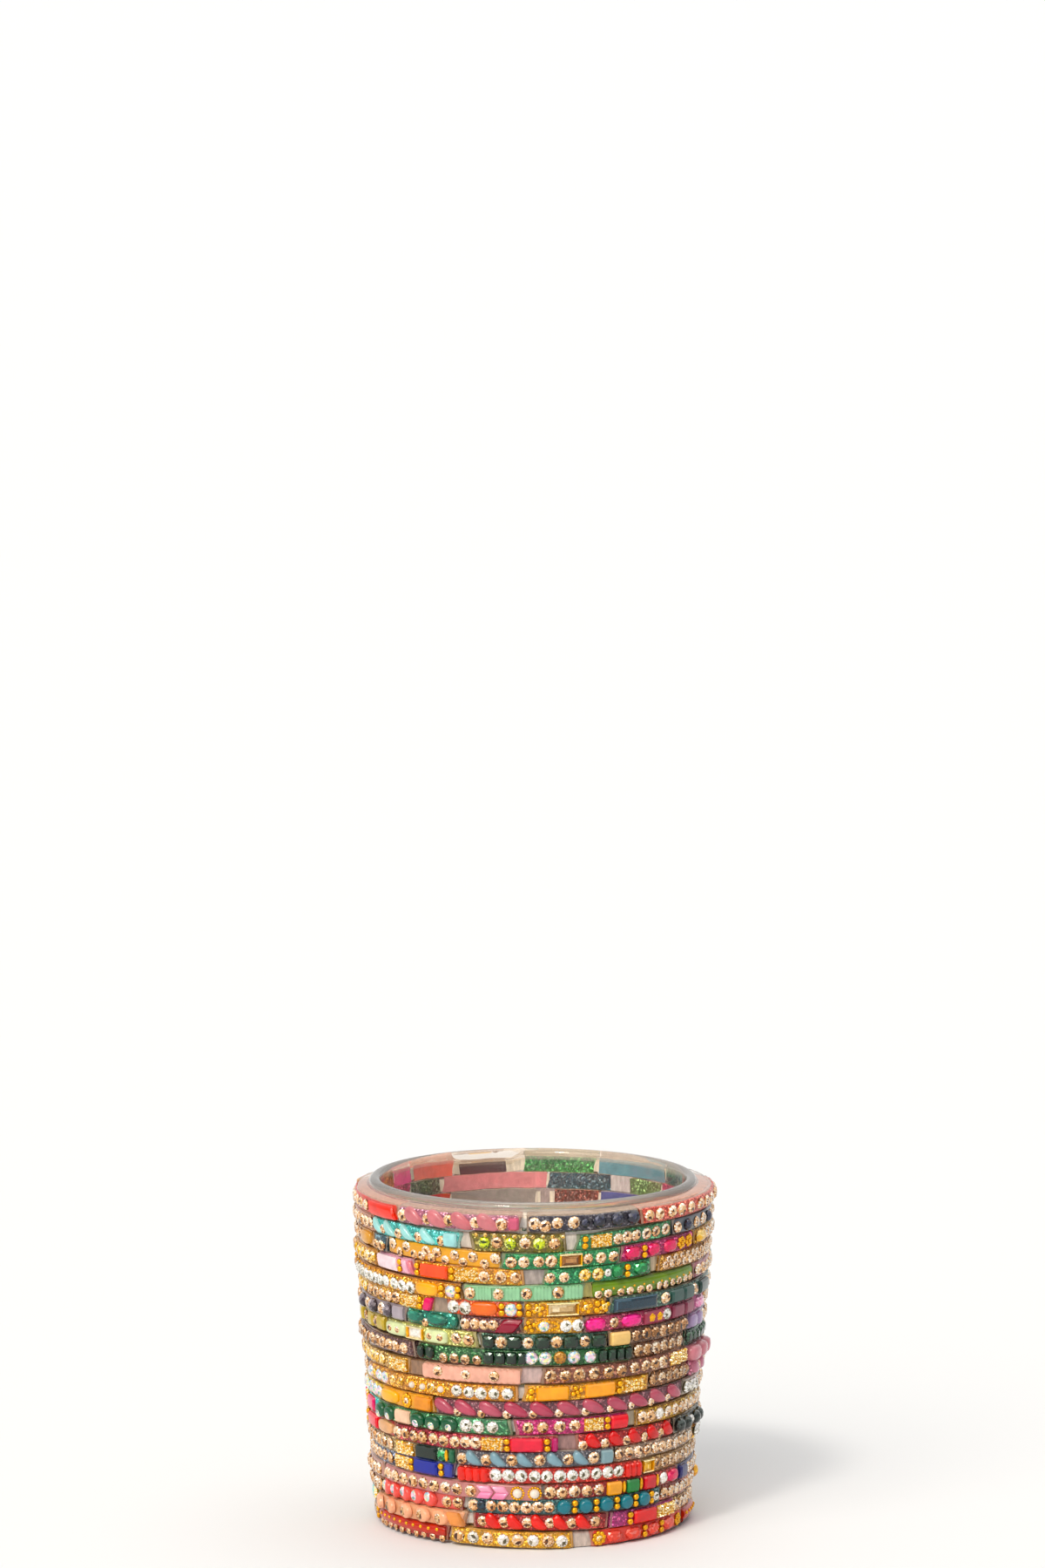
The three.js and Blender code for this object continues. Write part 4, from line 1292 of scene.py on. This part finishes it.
# Clear strip with the coloured coat on its face; the coat's colour shows through at the back
def layBar(heap, arc):
    row = rows[arc["row"]]
    half = row["height"] / 2 * bar["tall"] * arc["tall"]
    coat = linear(arc["code"])
    if arc["finish"] == "bare":
        section = stripSection(half * bar["bareTall"], row["depth"] - bar["backClear"], bar["bareTop"])
        laySolid(heap, arc, arc["start"] - bar["bareLap"], arc["end"] + bar["bareLap"], section, coat,
                 resinPart, bar["stripRound"])
        return
    part = glitterPart if arc["finish"] == "glitter" else lacPart
    # the strip's sides blend the coat with the resin colour, which carries painted shade for the gaps between
    # rows
    sides = blend(coat, resinAndGapShade, bar["topTint"] if row is topRow else bar["sideTint"])
    section = stripSection(half, row["depth"], bar["coatSink"] - bar["coatDepth"])
    others = len(section) - 1
    sweepSection(heap, arc, arc["start"], arc["end"], section, [coat] + [sides] * others,
                 [part] + [resinPart] * others, bar["stripRound"])
    bareEnd = degreesOf(arc, bar["bareEnd"])
    section = coatSection(half - bar["coatInset"], bar["coatDepth"])
    laySolid(heap, arc, arc["start"] + bareEnd, arc["end"] - bareEnd, section, coat, part, bar["endRound"])


# Clear glue that bridges the gap between two arcs, lower and thinner than they are
glue = {"tall": 0.8, "top": -1.5, "lap": 0.9}


def layGlue(heap, one, other, number):
    row = rows[number]
    seam = {"row": number, "start": one["end"] - glue["lap"], "end": other["start"] + glue["lap"],
            "lift": (one["lift"][1], other["lift"][0]), "proud": 0.0, "cut": (0.0, 0.0)}
    section = stripSection(row["height"] / 2 * glue["tall"], row["depth"] - bar["backClear"], glue["top"])
    laySolid(heap, seam, seam["start"], seam["end"], section, glueTint, resinPart, bar["stripRound"])


# How far the hand-glued rows wander from level, in mm, at the four inner angles; both ends meet level at the
# back
sagAngles = (-180, -50, -15, 15, 50, 180)
rowSag = {
    1: (0.0, 0.2, 0.0, 0.7), 2: (-0.1, -0.7, -0.7, 0.6), 3: (0.0, -1.0, -0.7, 0.7),
    4: (-0.2, -1.1, -0.5, 0.5), 5: (-0.5, -1.0, -0.2, 0.5), 6: (-0.4, -0.6, -0.2, 0.2),
    7: (0.1, -0.3, -0.4, 0.3), 8: (0.3, -0.2, -0.4, 0.4), 9: (0.1, -0.4, -0.2, 0.4),
    10: (-0.5, -0.6, -0.3, 0.8), 11: (-0.6, -0.8, -0.4, 0.6), 12: (-0.9, -1.2, -0.4, 0.4),
    13: (-1.1, -0.9, -0.4, 0.0), 14: (-0.9, -0.8, -0.6, -0.2), 15: (-0.7, -0.7, -0.4, -0.2),
    16: (-0.3, -0.3, -0.5, -0.2), 17: (0.0, -0.2, -0.8, -0.2), 18: (0.2, 0.1, -0.4, 0.0),
    19: (0.2, 0.5, -0.2, 0.0), 20: (0.4, 0.4, -0.3, 0.4),
}


def liftAt(number, degrees):
    turned = (degrees + 180) % 360 - 180
    course = list(zip(sagAngles, (0.0,) + rowSag[number] + (0.0,)))
    for (lowAt, low), (highAt, high) in zip(course, course[1:]):
        if turned <= highAt:
            return low + (high - low) * (turned - lowAt) / (highAt - lowAt)
    return 0.0


# Where a solid of the frame starts and ends, in degrees round the holder
def nodeSpan(name):
    turns = [math.degrees(math.atan2(v.co.x, -v.co.y)) for v in frame["nodes"][name].data.vertices]
    return min(turns), max(turns)


# The chart was read off the picture a little too wide
chartScale = 0.96


def inDegrees(value):
    if isinstance(value, (int, float)):
        return value * chartScale
    return value if isinstance(value, str) else [inDegrees(v) for v in value]


# Carries the outer charted arcs of a row on round the sides by a lot, so that the rows' joints don't line up
def carryOn(charted, room):
    first, last = charted[0], charted[-1]
    if not first["node"]:
        reach = min(room, dice.uniform(0, usualArc["carry"]))
        first["trim"].append(stoneRow(champ, first["start"] - reach + usualArc["carryFrom"], first["start"]))
        first["start"] -= reach
    if not last["node"]:
        reach = min(room, dice.uniform(0, usualArc["carry"]))
        last["trim"].append(stoneRow(champ, last["end"] + usualArc["carryFrom"],
                                     last["end"] + reach - usualArc["carryTo"]))
        last["end"] += reach


# All arcs of a row in order round the holder: the charted ones, then lots for what lies between
def rowArcs(number):
    charted = rowChart[number]
    for run in charted:
        run["start"], run["end"] = inDegrees((run["start"], run["end"]))
        run["trim"] = [(lay, inDegrees(values), more) for lay, values, more in run["trim"]]
        if run["node"]:
            run["start"], run["end"] = nodeSpan("row_%02d_%s_arc" % (number, run["node"]))
    carryOn(charted, usualArc["tight"] if number in backChart else usualArc["carry"])
    for start, end, code, finish, *tall in backChart.get(number, []):
        trim = [] if finish == "bare" else drawnTrim(start, end)
        charted.append(arc(start, end, code, finish, *trim, tall=tall[0] if tall else 1.0))
    found, half = [], usualArc["gap"] / 2
    for here, after in zip(charted, charted[1:] + [{"start": charted[0]["start"] + 360}]):
        found.append(here)
        if after["start"] - here["end"] > usualArc["least"]:
            found += drawnArcs(here["end"] + half, after["start"] - half)
    return found


# How far an arc may sit off its row, in mm: up or down, and in or out
rough = {"lift": 0.12, "proud": 0.42}


def buildRow(number):
    rowName = "row_%02d" % number
    heaps = {kind: newHeap() for kind in trimMaterials}
    rest = newHeap()
    arcs = rowArcs(number)
    for arc in arcs:
        # an arc that is less tall stands on the foot of its row
        shake = lot(rough["lift"]) - max(0, 1 - arc["tall"]) * rows[number]["height"] / 2
        arc["row"] = number
        arc["lift"] = (liftAt(number, arc["start"]) + shake, liftAt(number, arc["end"]) + shake)
        arc["proud"] = lot(rough["proud"])
        arc["cut"] = (lot(bar["cut"]), lot(bar["cut"]))
        heap = newHeap() if arc["node"] else rest
        layBar(heap, arc)
        for lay, values, more in arc["trim"]:
            lay(heaps, arc, *values, **more)
        if arc["node"]:
            node = "%s_%s_arc" % (rowName, arc["node"])
            makePiece("%s_%s_bar" % (rowName, arc["node"]), heap, barMaterials, slots[node], [node])
    for here, after in zip(arcs, arcs[1:] + [dict(arcs[0], start=arcs[0]["start"] + 360)]):
        layGlue(rest, here, after, number)
    backRun = rowName + "_back_run"
    makePiece(rowName + "_further_bars", rest, barMaterials, slots[backRun], [backRun])
    for kind, heap in heaps.items():
        if heap["faces"]:
            makePiece("%s_%s" % (rowName, kind), heap, [trimMaterials[kind]], trimSlots[kind])


for number in rows:
    buildRow(number)
print("rows laid:", rowCount)


# Glass tumbler, turned to the frame's rim and height; the hollow under it is the punt
tumbler = {"wall": 3.0, "base": 6.0, "footRound": 1.5, "punt": 24.0, "puntDepth": 1.2, "puntSlope": 3.0,
           "fillet": 5.0, "sides": 128, "roundSteps": 8, "sharpAngle": 50}
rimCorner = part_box("glass_tumbler")[1]
rimRadius, rimHeight = rimCorner.x / mm, rimCorner.z / mm


def wallRadius(z):
    return rimRadius - (rimHeight - z) * leanTan


def bend(centreX, centreZ, radius, start, end, steps):
    angles = [math.radians(start + (end - start) * i / steps) for i in range(steps + 1)]
    return [(centreX + radius * math.cos(a), centreZ + radius * math.sin(a)) for a in angles]


# Outline as (radius, height) from the punt out, up and back down inside, with the material of each stretch
def tumblerOutline():
    wall, fillet, footRound = tumbler["wall"], tumbler["fillet"], tumbler["footRound"]
    lip, filletTop, shoulder = wall / 2, tumbler["base"] + fillet, topRow["high"]
    steps = tumbler["roundSteps"]
    outline = [(tumbler["punt"] - tumbler["puntSlope"], tumbler["puntDepth"]), (tumbler["punt"], 0.0)]
    outline += bend(wallRadius(0) - footRound, footRound, footRound, -90, 0, steps)
    parts = [wallPart] * (len(outline) - 1) + [gluedPart]
    outline += [(wallRadius(shoulder), shoulder)]
    lipStart = len(outline)
    outline += bend(rimRadius - lip, rimHeight - lip, lip, 0, 180, 2 * steps)
    outline += [(wallRadius(shoulder) - wall, shoulder)]
    parts += [lipPart] * (len(outline) - lipStart)
    outline += bend(wallRadius(filletTop) - wall - fillet, filletTop, fillet, 0, -90, steps)
    return outline, parts + [wallPart] * (len(outline) - 1 - len(parts))


def buildTumbler():
    outline, stretches = tumblerOutline()
    sides = tumbler["sides"]
    points, faces, parts = [], [], []
    for radius, z in outline:
        for side in range(sides):
            angle = math.tau * side / sides
            points.append((radius * math.cos(angle) * mm, radius * math.sin(angle) * mm, z * mm))
    for ring, part in enumerate(stretches):
        for side in range(sides):
            here, after = ring * sides + side, ring * sides + (side + 1) % sides
            faces.append([here, after, after + sides, here + sides])
            parts.append(part)
    for ring, z in ((0, tumbler["puntDepth"]), (len(outline) - 1, tumbler["base"])):
        points.append((0.0, 0.0, z * mm))
        for side in range(sides):
            here, after = ring * sides + side, ring * sides + (side + 1) % sides
            faces.append([after, here, len(points) - 1] if ring == 0 else [here, after, len(points) - 1])
            parts.append(wallPart)
    heap = newHeap()
    addToHeap(heap, points, faces, [linear(wallGlass["tint"])] * len(faces), parts)
    makePiece("glass_cup", heap, tumblerMaterials, "clear_glass", ["glass_tumbler"], tumbler["sharpAngle"])


# Clear glue poured along the top row's upper edge: it climbs the lip and slopes out nearly to the arcs'
# faces, and it dips over the low arc at the back, from dipFrom to dipTo in degrees
pour = {"climb": 1.2, "lipClear": 1.35, "bond": 0.04, "inset": 0.95, "thick": 0.3, "sink": 0.55,
        "slopeAt": 0.3, "slopeUp": 0.35, "edgeRound": (0.5, 0.1), "dip": 1.1, "dipFrom": 185, "dipTo": 212,
        "dipEase": 3, "uneven": 0.1, "waves": ((7, 1.0), (17, 0.7), (31, 0.5)), "phases": (0, 1, 2),
        "stations": 180}


# Its section as (radius, height), from its foot on the glass up and out to its outer edge
def pourSection(turn):
    degrees = math.degrees(turn)
    wave = pour["uneven"] * wander(pour["waves"], turn, pour["phases"])
    ease = min(degrees - pour["dipFrom"], pour["dipTo"] - degrees) / pour["dipEase"]
    edge = topRow["high"] + liftAt(1, degrees) - pour["dip"] * max(0.0, min(1.0, ease))
    climb = min(edge + pour["climb"] + wave, rimHeight - pour["lipClear"])
    inner = wallRadius(climb) + pour["bond"]
    outer = topRow["face"] + 0.5 * topRow["height"] * leanTan - pour["inset"] + wave
    top, (roundOut, roundUp) = edge + pour["thick"], pour["edgeRound"]
    return [(inner, edge - pour["sink"]), (inner, climb),
            (inner + pour["slopeAt"] * (outer - inner), top + pour["slopeUp"] * (climb - edge)),
            (outer - roundOut, top + roundUp), (outer - roundUp, top - roundUp), (outer, edge - pour["sink"])]


def buildRimGlue():
    points, faces, stations = [], [], pour["stations"]
    for station in range(stations):
        turn = math.tau * station / stations
        section = pourSection(turn)
        count = len(section)
        points.extend((r * math.sin(turn) * mm, -r * math.cos(turn) * mm, z * mm) for r, z in section)
        here, after = station * count, (station + 1) % stations * count
        for i in range(count):
            j = (i + 1) % count
            faces.append([here + i, here + j, after + j, after + i])
    heap = newHeap()
    addToHeap(heap, points, faces, [linear(pouredGlue["tint"])] * len(faces))
    makePiece("rim_glue", heap, [rimMaterial], "clear_resin")


buildTumbler()
buildRimGlue()
print("tumbler turned, rim glued")


# Studio: pale floor and warm lamps far off, two of them broad and soft and a small one that the facets flash
# in. What is seen past the floor or through the glass is white paper. Glossy faces mirror a softbox overhead,
# white paper behind the holder and a dim room in front of it; their From and To are on a sphere of radius 1
studio = {"floorRadius": 60.0, "floorSides": 64, "paper": 1.0, "horizon": 0.28, "zenith": 0.6, "front": 0.2,
          "behindFrom": 0.2, "behindTo": 0.7, "softbox": 1.4, "softboxFrom": 0.05, "softboxTo": 0.6,
          "lampTint": "#FFF6E9"}
lamps = {"keyLamp": {"from": (-0.6, -1.0, 0.85), "strength": 1.44, "spread": 50},
         "flashLamp": {"from": (-0.5, -1.0, 1.2), "strength": 0.9, "spread": 9},
         "topLamp": {"from": (0.25, 0.3, 1.2), "strength": 0.85, "spread": 60}}


def buildFloor():
    count, radius = studio["floorSides"], studio["floorRadius"]
    angles = [math.tau * i / count for i in range(count)]
    ring = [(radius * math.cos(a), radius * math.sin(a), 0.0) for a in angles]
    mesh = bpy.data.meshes.new("floor")
    mesh.from_pydata(ring, [], [list(range(count))])
    mesh.materials.append(makeFloorPaint(floorPaint))
    floor = bpy.data.objects.new("floor", mesh)
    bpy.context.scene.collection.objects.link(floor)


def buildRoom():
    world = bpy.data.worlds.new("room")
    world.use_nodes = True
    tree = world.node_tree
    tree.nodes.clear()
    place = addNode(tree, "ShaderNodeTexCoord")
    parts = addNode(tree, "ShaderNodeSeparateXYZ", {"Vector": place.outputs["Generated"]})
    level = addNode(tree, "ShaderNodeMapRange", {
        "Value": parts.outputs["Z"], "To Min": studio["horizon"], "To Max": studio["zenith"]})
    behind = addNode(tree, "ShaderNodeMapRange", {
        "Value": parts.outputs["Y"], "From Min": studio["behindFrom"], "From Max": studio["behindTo"],
        "To Min": studio["front"], "To Max": studio["paper"]})
    glow = addNode(tree, "ShaderNodeMapRange", {
        "Value": parts.outputs["Z"], "From Min": studio["softboxFrom"], "From Max": studio["softboxTo"],
        "To Min": behind.outputs["Result"], "To Max": studio["softbox"]})
    path = addNode(tree, "ShaderNodeLightPath")
    shown = addNode(tree, "ShaderNodeMix", {
        "Factor": path.outputs["Is Glossy Ray"], "A": level.outputs["Result"], "B": glow.outputs["Result"]})
    # the room keeps the node's own pale grey
    room = addNode(tree, "ShaderNodeBackground", {"Strength": shown.outputs["Result"]})
    paper = addNode(tree, "ShaderNodeBackground", {"Color": white, "Strength": studio["paper"]})
    seen = addNode(tree, "ShaderNodeMath", {
        0: path.outputs["Is Camera Ray"], 1: path.outputs["Is Transmission Ray"]}, operation="MAXIMUM")
    mix = addNode(tree, "ShaderNodeMixShader", {
        0: seen.outputs["Value"], 1: room.outputs["Background"], 2: paper.outputs["Background"]})
    addNode(tree, "ShaderNodeOutputWorld", {"Surface": mix.outputs["Shader"]})
    bpy.context.scene.world = world


def buildLamps():
    for name, look in lamps.items():
        lamp = bpy.data.lights.new(name, "SUN")
        lamp.energy = look["strength"]
        lamp.angle = math.radians(look["spread"])
        lamp.color = linear(studio["lampTint"])[:3]
        holder = bpy.data.objects.new(name, lamp)
        holder.location = look["from"]
        holder.rotation_euler = Vector(look["from"]).to_track_quat("Z", "Y").to_euler()
        bpy.context.scene.collection.objects.link(holder)


# Camera worked out from the picture: the holder stands low in a tall frame, seen from a little above
view = {"frameWidth": 1200, "frameHeight": 1800, "lens": 165.6, "sensor": 36.0, "distance": 1.8,
        "elevation": 11.3, "target": 42.2, "targetX": 612.2, "targetY": 1548, "clipEnd": 200.0}


def buildCamera():
    camera = bpy.data.cameras.new("camera")
    camera.lens = view["lens"]
    camera.sensor_width = view["sensor"]
    camera.clip_end = view["clipEnd"]
    holder = bpy.data.objects.new("camera", camera)
    tilt = math.radians(view["elevation"])
    target = Vector((0, 0, view["target"] * mm))
    holder.location = target + Vector((0, -math.cos(tilt), math.sin(tilt))) * view["distance"]
    pixels = view["lens"] / view["sensor"] * view["frameHeight"]
    pitch = math.atan((view["targetY"] - view["frameHeight"] / 2) / pixels)
    yaw = math.atan((view["targetX"] - view["frameWidth"] / 2) / pixels)
    holder.rotation_euler = (math.pi / 2 - tilt + pitch, 0, yaw)
    bpy.context.scene.collection.objects.link(holder)
    bpy.context.scene.camera = holder


buildFloor()
buildRoom()
buildLamps()
buildCamera()
bpy.context.scene.view_settings.view_transform = "Standard"
print("studio set")
